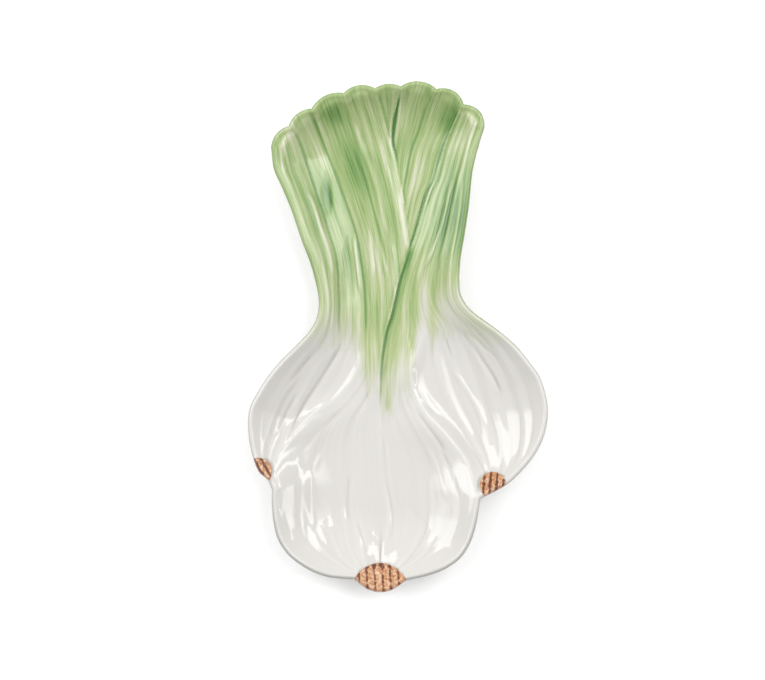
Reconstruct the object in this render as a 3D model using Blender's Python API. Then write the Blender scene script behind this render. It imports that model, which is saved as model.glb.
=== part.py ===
"""Glazed ceramic serving dish moulded as a bunch of three bulbs with a fan of leaves.

The dish is one piece of fired clay. It lies on its foot ring, +Z up, leaf tips towards +Y,
root plates towards -Y, with the origin under the middle of its box.
Sizes and places in this script are millimetres. MM turns them into metres for Blender.
"""
import math

import bpy
import numpy as np
from mathutils import Vector
from mathutils.geometry import delaunay_2d_cdt

MM = 0.001

# Driving sizes
LENGTH = 300.0          # leaf tips to the bottom root plate
BULB_RIM = 24.0         # height of the rim round the bulbs
NECK_RIM = 21.5         # height of the rim at the necks
TIP_RIM = 28.0          # height of the rim at the leaf tips
BULB_FLOOR = 7.5        # height of the inside floor in the bulbs
LEAF_FLOOR = 10.5       # height of the inside floor under the leaf tips
WALL = 4.9              # thickness of the floor, measured upright
LIP = 2.2               # radius of the round lip
BULB_WALL_RUN = 40.0    # how far the wall reaches inwards from the lip round the bulbs
NECK_WALL_RUN = 26.0
TIP_WALL_RUN = 32.0
WALL_POWER = 2.1        # how quickly the wall flattens into the floor
FOOT_HALF = 2.0         # half of the foot ring's flat width
FOOT_SLANT = 1.0        # how far the ring's sides lean out

# Steps along Y at which those heights and runs are met: roots, bulbs, necks, leaves, tips
HEIGHT_STEPS = (-150.0, -50.0, 20.0, 80.0, 146.0)

# Mesh spacing
OUTLINE_STEP = 3.4
TIP_STEP = 2.4                          # finer step along the outline's rounded leaf tips
EDGE_STEP = 3.4
FINE_STEP = 1.2                         # step of the lines that distances are measured to
LEAF_ROW = 5.6
BULB_ROW = 5.0
UNDER_GRID = 8.0
FOOT_STEP = 5.0
WALL_LOOPS = ((4.3, 2.0), (7.2, 2.6))   # depth of extra loops down the wall, and their least gap
UNDER_LOOP = (6.0, 4.0)                 # the same for the back's one extra loop
LOOP_SHARE = 0.95                       # share of its depth that a loop's point keeps from the outline
FOOT_MARGIN = 4.0                       # gap from the foot ring's sides to the next loop of points
LIP_DEPTH = 0.29                        # depth of the rings half way round the lip, in lip radii
LEAF_COLUMN = 1.6
BULB_COLUMN = 3.6
LINE_MARGIN = 5.5                       # how far from the outline the lines of points end
EDGE_GAPS = (1.0, 0.7)                  # least gap of points along a leaf edge and beside it
RIDGE_GAP = 1.4
ROOT_GAP = 1.0
LEAF_GAP = 1.5
BULB_GAP = 2.4
UNDER_GAP = 4.5
CURVE_SAMPLES = 24                      # samples between two given points of a curve
TIP_SAMPLES = 60                        # samples along one leaf tip
LEAF_COLUMNS = (10, 6, 12, 6, 5, 3, 11) # most points across each leaf in a row

# Outline in plan, from the notch right of the centre bulb, anticlockwise
RIGHT_SIDE = (
    (48.4, -95.4), (54.0, -92.5), (59.3, -89.8), (66.3, -85.1), (73.4, -78.1), (79.2, -71.0),
    (84.5, -61.6), (87.8, -48.7), (87.5, -38.2), (83.4, -24.1), (77.5, -15.3), (69.3, -5.3),
    (59.9, 2.9), (51.7, 8.8), (45.2, 13.5), (40.5, 18.2), (37.0, 24.7), (36.1, 33.5),
    (37.0, 46.4), (39.3, 60.5), (41.7, 76.9), (44.0, 98.0), (47.5, 112.1), (50.5, 121.5))
TIP_NOTCHES = (
    (50.5, 121.5), (38.5, 135.6), (22.6, 144.6), (1.6, 146.2), (-13.5, 145.0), (-31.7, 142.3),
    (-50.5, 133.2), (-64.0, 123.0), (-74.3, 109.8))
TIP_BULGES = (4.6, 4.1, 3.9, 2.2, 3.4, 3.5, 2.8, 3.0)
LEFT_SIDE = (
    (-74.3, 109.8), (-72.8, 98.0), (-68.7, 88.6), (-62.8, 74.5), (-56.4, 55.8), (-51.1, 41.7),
    (-47.5, 27.6), (-46.5, 18.8), (-48.1, 10.0), (-52.2, 2.9), (-59.9, -5.3), (-69.3, -14.7),
    (-76.9, -24.1), (-82.8, -33.5), (-86.9, -41.7), (-88.0, -51.1), (-87.2, -61.6),
    (-85.1, -71.0), (-81.6, -79.5), (-76.3, -84.5), (-74.0, -89.8))
CENTRE_LEFT = (
    (-74.0, -89.8), (-74.0, -99.2), (-73.1, -108.6), (-70.4, -119.2), (-64.6, -128.0),
    (-57.5, -133.8), (-50.5, -137.9), (-42.3, -140.9), (-34.0, -142.1), (-25.8, -142.6))
ROOT_BULGE = ((-25.8, -142.6), (-17.6, -148.5), (-10.6, -150.1), (-3.5, -148.8), (4.7, -143.2))
CENTRE_RIGHT = (
    (4.7, -143.2), (12.9, -141.5), (20.5, -139.4), (28.8, -135.9), (36.4, -130.3),
    (41.7, -122.7), (45.2, -113.3), (47.0, -104.5), (48.4, -95.4))

# Lines in plan where one leaf passes over the next, from the tips down
LEFT_LEAF_EDGE = (
    (-66.9, 132.1), (-63.4, 125.0), (-59.3, 116.8), (-54.6, 103.9), (-47.0, 80.4),
    (-40.4, 59.9), (-36.8, 48.1), (-35.5, 36.4), (-35.2, 21.7), (-35.5, -4.7))
VALLEY = (
    (-52.8, 139.1), (-50.2, 132.7), (-43.8, 115.6), (-39.2, 103.9), (-34.7, 92.2),
    (-27.0, 69.9), (-23.8, 59.9), (-19.6, 35.8), (-18.2, 15.8), (-18.2, -4.7))
MIDDLE_LEAF_EDGE = (
    (-14.1, 147.9), (-9.0, 133.2), (-3.4, 112.7), (0.5, 95.1), (3.6, 77.5), (7.0, 51.1),
    (8.4, 21.7), (8.2, -7.6))
KEEL = (
    (-31.7, 143.8), (-25.2, 128.6), (-21.1, 112.7), (-13.5, 92.2), (-7.0, 59.9), (-3.5, 48.1),
    (-1.8, 27.6), (-1.2, 4.1))
TIP_LEAF_EDGE = ((2.3, 148.5), (0.0, 139.1), (-2.9, 128.6), (-3.8, 115.6), (-2.3, 106.8))
BACK_LEAF_EDGE = ((2.3, 148.5), (1.2, 139.1), (0.0, 128.6), (-1.8, 115.6), (-1.2, 86.3))
BACK_LINE_ONE = ((23.5, 147.3), (18.8, 139.1), (12.9, 121.5), (8.2, 109.8), (4.1, 89.2), (0.0, 65.7))
BACK_LINE_TWO = ((34.0, 146.2), (30.5, 136.2), (22.9, 112.7), (15.8, 98.0), (12.9, 80.4), (1.2, 33.5))
RIGHT_LEAF_EDGE = (
    (39.9, 140.3), (35.2, 130.3), (29.9, 118.6), (26.4, 109.8), (21.7, 92.2), (17.6, 83.4),
    (10.6, 59.9), (2.3, 36.4), (-3.5, 12.9), (-7.0, 1.2), (-9.4, -13.5), (-10.6, -37.0))
FAR_LEFT = ((-82.0, 139.0), (-77.0, 124.0)) + LEFT_SIDE[:12]
FAR_RIGHT = ((56.0, 142.0), (53.0, 130.0)) + RIGHT_SIDE[:11:-1]

# Hollows between leaves: two edges each
UPPER_POCKET = (
    ((-42.9, 99.2), (-45.2, 87.5), (-44.6, 76.3), (-41.1, 65.7)),
    ((-42.9, 99.2), (-39.9, 92.2), (-39.3, 78.7), (-41.1, 65.7)))
LOWER_POCKET = (
    ((-29.9, 61.0), (-32.0, 51.1), (-32.9, 36.4), (-32.7, 17.0)),
    ((-29.9, 61.0), (-28.2, 51.1), (-26.4, 39.3), (-25.8, 17.0)))

# Ridges where the centre bulb stands in front of its neighbours
LEFT_RIDGE = (
    (-18.2, 7.0), (-19.4, -4.7), (-21.7, -13.5), (-25.8, -23.5), (-31.1, -31.1), (-37.0, -37.0),
    (-45.8, -42.9), (-54.6, -50.5), (-66.9, -65.7), (-71.0, -72.8), (-72.5, -82.8), (-73.4, -91.6))
RIGHT_RIDGE = (
    (6.5, -7.6), (7.6, -25.2), (12.3, -38.2), (17.0, -45.8), (22.9, -51.7), (31.7, -61.6),
    (39.3, -72.2), (42.9, -81.0), (45.2, -88.6), (47.5, -95.1))
RIDGE_HEIGHT = 6.5
RIDGE_STEPS = (-60.0, -30.0, 6.0)
RIDGE_SHARES = (1.0, 0.45, 0.0)         # share of the full height met at each step
RIDGE_INSIDE = 8.0                      # how wide a ridge is on the centre bulb's side
RIDGE_OUTSIDE = 3.6
RIDGE_BLEND = 3.0                       # width over which the flutes change from bulb to bulb

# Edges between which each bulb's flutes run from its neck to its root
CENTRE_FLOW = (
    ((-18.2, 15.8), (-19.4, -4.7), (-25.8, -23.5), (-37.0, -37.0), (-54.6, -50.5), (-66.9, -65.7),
     (-72.8, -92.7), (-69.3, -110.4), (-58.7, -125.0), (-39.9, -135.6), (-15.3, -141.5)),
    ((6.5, -7.6), (7.6, -25.2), (12.3, -38.2), (22.9, -51.7), (31.7, -61.6), (39.9, -75.1),
     (45.2, -101.6), (41.1, -114.5), (29.3, -126.8), (12.9, -135.6), (-5.9, -141.5)))
LEFT_FLOW = (
    LEFT_SIDE[6:20],
    ((-18.8, 21.7), (-19.4, -4.7), (-24.7, -23.5), (-34.0, -37.0), (-51.7, -60.5), (-63.4, -73.4)))
RIGHT_FLOW = (
    ((10.0, 12.9), (11.7, -25.2), (18.8, -41.7), (31.7, -58.1), (42.3, -71.0), (51.7, -83.9)),
    RIGHT_SIDE[2:17])
CENTRE_FLUTES = (CENTRE_FLOW, 7, 0.12)  # edges, number of flutes and their depth
LEFT_FLUTES = (LEFT_FLOW, 4, 0.20)
RIGHT_FLUTES = (RIGHT_FLOW, 5, 0.22)
FINE_FLUTES = (1.7, 0.5, 0.2)           # finer flutes over them: times as many, share of depth, shift
FLUTE_FADE = 6.0                        # the flutes fade over one part in six at each edge

# Line along which the green leaves turn into white bulbs
GREEN_END = (
    (-51.7, 1.2), (-25.2, 1.2), (-16.4, -34.0), (-1.8, -37.0), (8.2, -25.2), (15.8, -7.6),
    (36.4, 8.8), (54.0, 11.2))
GREEN_FADE = 26.0

# Root plates: centre, radius, direction across the grooves in degrees, groove spacing
ROOTS = (
    ((-10.6, -151.4), 17.9, 4.0, 4.6),
    ((-82.2, -79.5), 8.4, 30.0, 3.7),
    ((55.8, -87.5), 7.9, -6.0, 3.7))
ROOT_STAND = 1.3
ROOT_GROOVE = 0.9
ROOT_EDGE = 1.4         # width of a root plate's rounded edge

# Middle line of the foot ring
FOOT = (
    (-10.0, -114.0), (14.0, -110.0), (34.0, -96.0), (49.0, -72.0), (52.0, -48.0), (42.0, -25.0),
    (24.0, -2.0), (13.0, 26.0), (13.0, 58.0), (15.0, 86.0), (4.0, 106.0), (-18.0, 111.0),
    (-40.0, 104.0), (-42.0, 82.0), (-33.0, 52.0), (-26.0, 20.0), (-34.0, -6.0), (-51.0, -26.0),
    (-60.0, -50.0), (-57.0, -76.0), (-48.0, -96.0), (-31.0, -110.0))

EDGE_WIDTH = 0.9        # how wide the step is where one leaf passes over another
POCKET = -0.5           # height of the ground between the leaves, from the trough's floor
POCKET_SHARE = 0.45     # how far down to that ground a pocket reaches
POCKET_SOFT = 2.2       # width over which a pocket's sides slope
SHOULDER = 4           # power that gives a leaf its flat crown and round shoulders
RELIEF_FADE = 4.0       # distance from the lip over which the relief rises
HOLLOW_FADES = (8.0, 3.0)   # lengths over which a hollow fades at its lower and upper end
TIP_ROUND = 0.75        # power that makes a leaf tip blunt


def smooth(t):
    """Ease from 0 at t=0 to 1 at t=1."""
    t = np.clip(t, 0.0, 1.0)
    return t * t * (3.0 - 2.0 * t)


def eased(t, steps, values):
    """Value at t that eases from each step's value to the next one's."""
    steps, values = np.asarray(steps), np.asarray(values)
    i = np.clip(np.searchsorted(steps, t) - 1, 0, len(steps) - 2)
    return values[i] + (values[i + 1] - values[i]) * smooth((t - steps[i]) / (steps[i + 1] - steps[i]))


def curve(points, step, closed=False):
    """Centripetal Catmull-Rom curve through the points, sampled about every step."""
    p = np.array(points, float)
    if closed:
        p = np.vstack([p[-1:], p, p[:2]])
    else:
        p = np.vstack([2 * p[0] - p[1], p, 2 * p[-1] - p[-2]])
    samples = []
    for i in range(1, len(p) - 2):
        a, b, c, d = p[i - 1:i + 3]
        ta = 0.0
        tb = ta + math.sqrt(np.linalg.norm(b - a))
        tc = tb + math.sqrt(np.linalg.norm(c - b))
        td = tc + math.sqrt(np.linalg.norm(d - c))
        t = np.linspace(tb, tc, CURVE_SAMPLES, endpoint=False)[:, None]
        ab = (tb - t) / (tb - ta) * a + (t - ta) / (tb - ta) * b
        bc = (tc - t) / (tc - tb) * b + (t - tb) / (tc - tb) * c
        cd = (td - t) / (td - tc) * c + (t - tc) / (td - tc) * d
        abc = (tc - t) / (tc - ta) * ab + (t - ta) / (tc - ta) * bc
        bcd = (td - t) / (td - tb) * bc + (t - tb) / (td - tb) * cd
        samples.append((tc - t) / (tc - tb) * abc + (t - tb) / (tc - tb) * bcd)
    line = np.vstack(samples + [p[-2:-1]])
    return spaced(line, step)


def spaced(line, step):
    """The line's own path with points at even distances of about step, ends kept."""
    run = np.concatenate([[0.0], np.cumsum(np.linalg.norm(np.diff(line, axis=0), axis=1))])
    count = max(2, int(round(run[-1] / step)) + 1)
    at = np.linspace(0.0, run[-1], count)
    return np.column_stack([np.interp(at, run, line[:, 0]), np.interp(at, run, line[:, 1])])


def leaf_tip(start, end, bulge, step):
    """Rounded leaf tip between two notches, standing out by bulge."""
    start, end = np.array(start), np.array(end)
    out = np.array([end[1] - start[1], start[0] - end[0]])
    out = out / np.linalg.norm(out)
    t = np.linspace(0.0, 1.0, TIP_SAMPLES)[:, None]
    line = start + (end - start) * t + out * bulge * np.sin(math.pi * t) ** TIP_ROUND
    return spaced(line, step)


def outline(step):
    """Closed outline of the dish in plan, anticlockwise, first point repeated at the end."""
    spans = [curve(RIGHT_SIDE, step)]
    for start, end, bulge in zip(TIP_NOTCHES, TIP_NOTCHES[1:], TIP_BULGES):
        spans.append(leaf_tip(start, end, bulge, min(step, TIP_STEP)))
    spans += [curve(part, step) for part in (LEFT_SIDE, CENTRE_LEFT, ROOT_BULGE, CENTRE_RIGHT)]
    return np.vstack([span[:-1] for span in spans] + [spans[0][:1]])


def distance(points, line):
    """Distance from each point to a line of straight runs."""
    best = np.full(len(points), np.inf)
    for a, b in zip(line[:-1], line[1:]):
        run = b - a
        gap = points - a
        t = np.clip(gap @ run / (run @ run), 0.0, 1.0)
        gap = gap - t[:, None] * run
        best = np.minimum(best, np.einsum("ij,ij->i", gap, gap))
    return np.sqrt(best)


def edge_at(points, y):
    """X of a line that runs along Y, read at y."""
    line = curve(points, FINE_STEP)
    line = line[np.argsort(line[:, 1])]
    return np.interp(y, line[:, 1], line[:, 0])


OUTLINE = outline(FINE_STEP)
FOOT_LINE = curve(FOOT, FOOT_STEP, closed=True)


def rim_height(y):
    """Height of the lip's crest along the dish."""
    return eased(y, HEIGHT_STEPS, (BULB_RIM, BULB_RIM, NECK_RIM, BULB_RIM, TIP_RIM))


def floor_height(y):
    """Height of the inside floor along the dish."""
    neck = (BULB_FLOOR + LEAF_FLOOR) / 2
    return eased(y, HEIGHT_STEPS, (BULB_FLOOR, BULB_FLOOR, neck, LEAF_FLOOR, LEAF_FLOOR))


def wall_run(y):
    """How far the wall reaches inwards along the dish."""
    return eased(y, HEIGHT_STEPS, (BULB_WALL_RUN, BULB_WALL_RUN, NECK_WALL_RUN, TIP_WALL_RUN, TIP_WALL_RUN))


def steepness(y, depth):
    """1 at the lip, falling to 0 where the wall meets the floor."""
    inward = np.clip(depth - LIP, 0.0, None)
    return np.clip(1.0 - inward / wall_run(y), 0.0, 1.0) ** WALL_POWER


def strip(x, y, left, right):
    """Place across a strip, 0 at its left edge and 1 at its right, and the gap to its nearer edge."""
    a, b = edge_at(left, y), edge_at(right, y)
    return (x - a) / np.maximum(b - a, 0.1), np.minimum(x - a, b - x)


def within(gap):
    """1 inside an edge, falling to 0 just outside it."""
    return smooth(1.0 + gap / EDGE_WIDTH)


def leaf(x, y, left, right, edge, crown, pleats, depth):
    """Cover of a leaf and its height: a flat crown with round shoulders and fine pleats."""
    across, gap = strip(x, y, left, right)
    across = np.clip(across, 0.0, 1.0)
    body = edge + crown * (1.0 - np.abs(2.0 * across - 1.0) ** SHOULDER)
    body = body + depth * np.cos(2.0 * math.pi * pleats * across)
    return within(gap), body


def hollow(x, y, edges):
    """Cover of a hollow between leaves, which narrows to a point at its upper end."""
    gap = strip(x, y, *edges)[1]
    low, high = edges[0][-1][1], edges[0][0][1]
    fade_low, fade_high = HOLLOW_FADES
    return smooth(gap / POCKET_SOFT + 0.5) * smooth((y - low) / fade_low) * smooth((high - y) / fade_high)


# Left edge, right edge, height at the edges, crown, pleats and their depth
LEAVES = (
    (MIDDLE_LEAF_EDGE, TIP_LEAF_EDGE, 0.2, 0.4, 2, 0.05),
    (BACK_LEAF_EDGE, BACK_LINE_ONE, 0.0, 0.5, 3, 0.06),
    (BACK_LINE_ONE, BACK_LINE_TWO, 0.0, 0.4, 3, 0.06),
    (BACK_LINE_TWO, RIGHT_LEAF_EDGE, 0.1, 0.5, 1, 0.06),
    (LEFT_LEAF_EDGE, VALLEY, 0.1, 0.6, 2, 0.08),
)
FRONT_LEAVES = (
    (VALLEY, MIDDLE_LEAF_EDGE, 0.5, 0.9, 6, 0.06),
    (FAR_LEFT, LEFT_LEAF_EDGE, 0.5, 0.9, 4, 0.06),
    (RIGHT_LEAF_EDGE, FAR_RIGHT, 0.6, 1.0, 6, 0.10),
)
KEEL_HEIGHT = 0.35
KEEL_WIDTH = 2.2


def leaves(x, y):
    """Height of the overlapping leaves above the trough's floor, back ones first."""
    z = np.full(len(x), POCKET)
    for left, right, edge, crown, pleats, depth in LEAVES:
        cover, body = leaf(x, y, left, right, edge, crown, pleats, depth)
        z = z + (body - z) * cover
    for edges in (UPPER_POCKET, LOWER_POCKET):
        z = z + (POCKET - z) * hollow(x, y, edges) * POCKET_SHARE
    for left, right, edge, crown, pleats, depth in FRONT_LEAVES:
        cover, body = leaf(x, y, left, right, edge, crown, pleats, depth)
        if left is VALLEY:
            body = body + KEEL_HEIGHT * np.exp(-((x - edge_at(KEEL, y)) / KEEL_WIDTH) ** 2)
        z = z + (body - z) * cover
    return z


def flutes(x, y, flow, count, depth):
    """Shallow flutes that run from a bulb's neck to its root."""
    across = np.clip(strip(x, y, *flow)[0], 0.0, 1.0)
    times, share, shift = FINE_FLUTES
    wave = np.cos(2 * math.pi * count * across)
    wave = wave + share * np.cos(2 * math.pi * (times * count * across + shift))
    return depth * wave * smooth(across * FLUTE_FADE) * smooth((1.0 - across) * FLUTE_FADE)


def bulbs(x, y):
    """Flutes of the three bulbs, each on its own side of the ridges."""
    left = smooth(0.5 + (edge_at(LEFT_RIDGE, y) - x) / RIDGE_BLEND)
    right = smooth(0.5 + (x - edge_at(RIGHT_RIDGE, y)) / RIDGE_BLEND)
    z = flutes(x, y, *CENTRE_FLUTES)
    z = z + (flutes(x, y, *LEFT_FLUTES) - z) * left
    return z + (flutes(x, y, *RIGHT_FLUTES) - z) * right


def ridges(points):
    """Ridges of the centre bulb's wall: steep outside, gently sloped inside."""
    x, y = points.T
    tall = RIDGE_HEIGHT * eased(y, RIDGE_STEPS, RIDGE_SHARES)
    z = np.zeros(len(x))
    for line, side in ((LEFT_RIDGE, 1.0), (RIGHT_RIDGE, -1.0)):
        gap = distance(points, curve(line, FINE_STEP))
        inside = side * (x - edge_at(line, y)) > 0.0
        z = np.maximum(z, tall * np.exp(-(gap / np.where(inside, RIDGE_INSIDE, RIDGE_OUTSIDE)) ** 1.5))
    return z


def greenness(x, y):
    """1 on the leaves, 0 on the bulbs."""
    end = np.interp(x, [p[0] for p in GREEN_END], [p[1] for p in GREEN_END])
    return smooth((y - end) / GREEN_FADE + 0.5)


def root_cover(points, root):
    """1 on a root plate, falling to 0 just outside it."""
    centre, radius = root[:2]
    return smooth(0.5 + (radius - np.linalg.norm(points - np.array(centre), axis=1)) / ROOT_EDGE)


def root_relief(points, root):
    """Height of a root plate's pad and its carved grooves."""
    centre, _, turn, spacing = root
    turn = math.radians(turn)
    across = (points - np.array(centre)) @ np.array([math.cos(turn), math.sin(turn)])
    groove = np.sin(math.pi * across / spacing) ** 4
    return ROOT_STAND - ROOT_GROOVE * groove


def top(points, depth):
    """Height of the glazed face, from the lip inwards."""
    x, y = points.T
    rim, ground = rim_height(y), floor_height(y)
    share = steepness(y, depth)
    z = ground + (rim - ground) * share
    lip = np.clip(depth, 0.0, LIP)
    z = z - LIP + np.sqrt(LIP ** 2 - (LIP - lip) ** 2)
    green = greenness(x, y)
    relief = green * leaves(x, y) + (1.0 - green) * bulbs(x, y) + ridges(points) * (1.0 - share)
    z = z + relief * smooth((depth - LIP) / RELIEF_FADE)
    for root in ROOTS:
        cover = root_cover(points, root)
        z = z + cover * root_relief(points, root) * smooth(depth / LIP)
    return z


def underside(points, depth):
    """Height of the back, with the foot ring's flat sole at zero."""
    y = points[:, 1]
    low = floor_height(y) - WALL
    lip = np.clip(depth, 0.0, LIP)
    z = low + (rim_height(y) - 2.0 * LIP - low) * steepness(y, depth)
    z = z + LIP - np.sqrt(LIP ** 2 - (LIP - lip) ** 2)
    ring = smooth_edge(distance(points, FOOT_LINE))
    return z * ring


def smooth_edge(gap):
    """0 on the foot ring's sole and 1 beyond its slanted sides."""
    return np.clip((gap - FOOT_HALF) / FOOT_SLANT, 0.0, 1.0)


class Points:
    """Plan points no nearer to each other than they should be, and the lines that join some."""

    def __init__(self):
        self.places, self.edges, self.cells = [], [], {}

    def near(self, place, gap):
        """True when a kept point lies within gap of the place."""
        i, j = int(place[0] // 4), int(place[1] // 4)
        for cell in ((i + a, j + b) for a in (-1, 0, 1) for b in (-1, 0, 1)):
            for other in self.cells.get(cell, ()):
                if math.dist(place, self.places[other]) < gap:
                    return True
        return False

    def add(self, place, gap):
        """Keep the place unless another is within gap, and return its number or None."""
        if gap and self.near(place, gap):
            return None
        self.places.append((float(place[0]), float(place[1])))
        self.cells.setdefault((int(place[0] // 4), int(place[1] // 4)), []).append(len(self.places) - 1)
        return len(self.places) - 1

    def add_loop(self, loop):
        """Keep every point of a closed loop, and the edges between them."""
        first = len(self.places)
        for place in loop:
            self.add(place, 0.0)
        last = len(self.places) - 1
        self.edges += [(i, i + 1) for i in range(first, last)] + [(last, first)]

    def add_line(self, line, gap):
        """Keep a line's points, joined by edges wherever two in a row were kept."""
        before = None
        for place in line:
            kept = self.add(place, gap)
            if kept is not None and before is not None:
                self.edges.append((before, kept))
            before = kept


def inset(border, depth):
    """The closed border moved inwards by depth, without its repeated last point."""
    ahead = np.roll(border[:-1], -1, axis=0) - np.roll(border[:-1], 1, axis=0)
    inward = np.column_stack([-ahead[:, 1], ahead[:, 0]]) / np.linalg.norm(ahead, axis=1)[:, None]
    return border[:-1] + inward * depth


def inside_outline(points):
    """True for each point inside the closed outline."""
    x, y = points.T
    crossings = np.zeros(len(points), int)
    for (ax, ay), (bx, by) in zip(OUTLINE[:-1], OUTLINE[1:]):
        spans = (ay > y) != (by > y)
        if spans.any():
            crossings += spans & (x < ax + (y - ay) * (bx - ax) / (by - ay))
    return crossings % 2 == 1


def visible_edges():
    """Lines where a leaf steps down to its neighbour, each with the y-range that shows."""
    return (
        (LEFT_LEAF_EDGE, -2.0, 124.0, 1), (VALLEY, -2.0, 134.0, -1),
        (MIDDLE_LEAF_EDGE, 54.0, 140.0, 1), (RIGHT_LEAF_EDGE, -34.0, 132.0, -1),
        (BACK_LINE_ONE, 92.0, 140.0, 1), (BACK_LINE_TWO, 62.0, 138.0, -1),
        (BACK_LEAF_EDGE, 110.0, 140.0, -1), (TIP_LEAF_EDGE, 114.0, 140.0, 1),
        (UPPER_POCKET[0], 68.0, 96.0, 1), (UPPER_POCKET[1], 68.0, 96.0, -1),
        (LOWER_POCKET[0], 20.0, 57.0, 1), (LOWER_POCKET[1], 20.0, 57.0, -1))


def top_points(border):
    """Plan points of the glazed face: lip, wall, leaf edges, ridges, root plates, then the rows."""
    kept = Points()
    kept.add_loop(inset(border, LIP))
    for depth, gap in WALL_LOOPS:
        loop = inset(border, depth)
        for place in loop[distance(loop, OUTLINE) > LOOP_SHARE * depth]:
            kept.add(place, gap)
    for line, low, high, side in visible_edges():
        path = curve(line, EDGE_STEP)
        path = path[(path[:, 1] > low) & (path[:, 1] < high)]
        path = path[distance(path, OUTLINE) > LINE_MARGIN]
        kept.add_line(path, EDGE_GAPS[0])
        kept.add_line(path + np.array([side * EDGE_WIDTH, 0.0]), EDGE_GAPS[1])
    for line in (LEFT_RIDGE, RIGHT_RIDGE, KEEL):
        path = curve(line, EDGE_STEP)
        kept.add_line(path[distance(path, OUTLINE) > LINE_MARGIN], RIDGE_GAP)
    scatter(kept, root_lattice(), ROOT_GAP)
    scatter(kept, leaf_lattice(), LEAF_GAP)
    scatter(kept, bulb_lattice(), BULB_GAP)
    return kept


def scatter(kept, places, gap):
    """Keep those places that lie well inside the lip."""
    places = np.array(places)
    places = places[inside_outline(places)]
    for place in places[distance(places, OUTLINE) > LIP + 0.7 * gap]:
        kept.add(place, gap)


def root_lattice():
    """Fine points over each root plate, in line with its grooves."""
    places = []
    for centre, radius, turn, spacing in ROOTS:
        turn = math.radians(turn)
        across = np.array([math.cos(turn), math.sin(turn)])
        along = np.array([-across[1], across[0]])
        steps = int(radius / (spacing / 4)) + 1
        for i in range(-steps, steps + 1):
            for j in range(-6, 7):
                place = np.array(centre) + across * i * spacing / 4 + along * j * radius / 6
                if math.dist(place, centre) < radius + 0.8:
                    places.append(place)
    return places


def leaf_lattice():
    """Rows of points across the leaves, spread evenly between their edges."""
    lines = (FAR_LEFT, LEFT_LEAF_EDGE, VALLEY, MIDDLE_LEAF_EDGE, BACK_LINE_ONE, BACK_LINE_TWO,
             RIGHT_LEAF_EDGE, FAR_RIGHT)
    places = []
    for y in np.arange(-36.0, 148.0, LEAF_ROW):
        at = [float(edge_at(line, y)) for line in lines]
        for k in range(3, 6):
            at[k] = min(at[k], at[6])
        for left, right, count in zip(at, at[1:], LEAF_COLUMNS):
            if right - left > LEAF_GAP:
                count = min(count, max(1, int((right - left) / LEAF_COLUMN)))
                places += [(left + (right - left) * (i + 0.5) / count, y) for i in range(count)]
    places = np.array(places)
    return places[greenness(places[:, 0], places[:, 1]) > 0.35]


def bulb_lattice():
    """Rows of points across the bulbs, spread evenly between their flow edges."""
    places = []
    for y in np.arange(-146.0, 24.0, BULB_ROW):
        left, right = float(edge_at(LEFT_RIDGE, y)), float(edge_at(RIGHT_RIDGE, y))
        out_left, out_right = -90.0, 90.0
        for a, b in ((out_left, left), (left, right), (right, out_right)):
            count = max(1, int(round((b - a) / BULB_COLUMN)))
            places += [(a + (b - a) * (i + 0.5) / count, y) for i in range(count)]
    return places


def under_points(border):
    """Plan points of the back: the lip, the foot ring's four lines, then a wide grid."""
    kept = Points()
    kept.add_loop(inset(border, LIP))
    side = FOOT_HALF + FOOT_SLANT
    for shift in (-side - FOOT_MARGIN, -side, -FOOT_HALF, FOOT_HALF, side, side + FOOT_MARGIN):
        kept.add_loop(inset(FOOT_LINE, shift))
    depth, gap = UNDER_LOOP
    loop = inset(border, depth)
    for place in loop[distance(loop, OUTLINE) > LOOP_SHARE * depth]:
        kept.add(place, gap)
    grid = [(x, y) for y in np.arange(-150.0, 150.0, UNDER_GRID) for x in np.arange(-90.0, 92.0, UNDER_GRID)]
    grid = np.array(grid)
    grid = grid[distance(grid, FOOT_LINE) > side + 1.7 * FOOT_MARGIN]
    scatter(kept, grid, UNDER_GAP)
    return kept


def fill(kept, shape, first, numbers, vertices):
    """Triangles over the kept points, whose first loop is already in the mesh as numbers."""
    places = [Vector(place) for place in kept.places]
    spots, _, triangles, sources = delaunay_2d_cdt(places, kept.edges, [], 1, 1e-5)[:4]
    spots = np.array([tuple(spot) for spot in spots])
    heights = shape(spots, distance(spots, OUTLINE))
    numbered = []
    for (x, y), z, source in zip(spots, heights, sources):
        shared = [i for i in source if i < first]
        if shared:
            numbered.append(numbers[shared[0]])
        else:
            numbered.append(len(vertices))
            vertices.append((x, y, z))
    faces = []
    for triangle in triangles:
        a, b, c = counterclockwise(triangle, spots)
        faces.append((numbered[a], numbered[b], numbered[c]))
    return faces


def dish_mesh():
    """The round lip as rings, with the glazed face and the back filled in between them."""
    border = outline(OUTLINE_STEP)
    count = len(border) - 1
    vertices, rings, faces = [], [], []
    for shape, depth in ((underside, LIP), (underside, LIP * LIP_DEPTH), (top, 0.0),
                         (top, LIP * LIP_DEPTH), (top, LIP)):
        ring = inset(border, depth)
        heights = shape(ring, np.full(count, depth))
        rings.append([len(vertices) + i for i in range(count)])
        vertices += [(x, y, z) for (x, y), z in zip(ring, heights)]
    for low, high in zip(rings, rings[1:]):
        for i in range(count):
            j = (i + 1) % count
            faces += [(low[i], low[j], high[j]), (low[i], high[j], high[i])]
    faces += fill(top_points(border), top, count, rings[-1], vertices)
    faces += [face[::-1] for face in fill(under_points(border), underside, count, rings[0], vertices)]
    return vertices, faces


def counterclockwise(triangle, spots):
    """The triangle turned so that it faces up."""
    a, b, c = (spots[i] for i in triangle)
    turn = (b[0] - a[0]) * (c[1] - a[1]) - (b[1] - a[1]) * (c[0] - a[0])
    return tuple(triangle) if turn > 0 else tuple(triangle[::-1])


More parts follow.
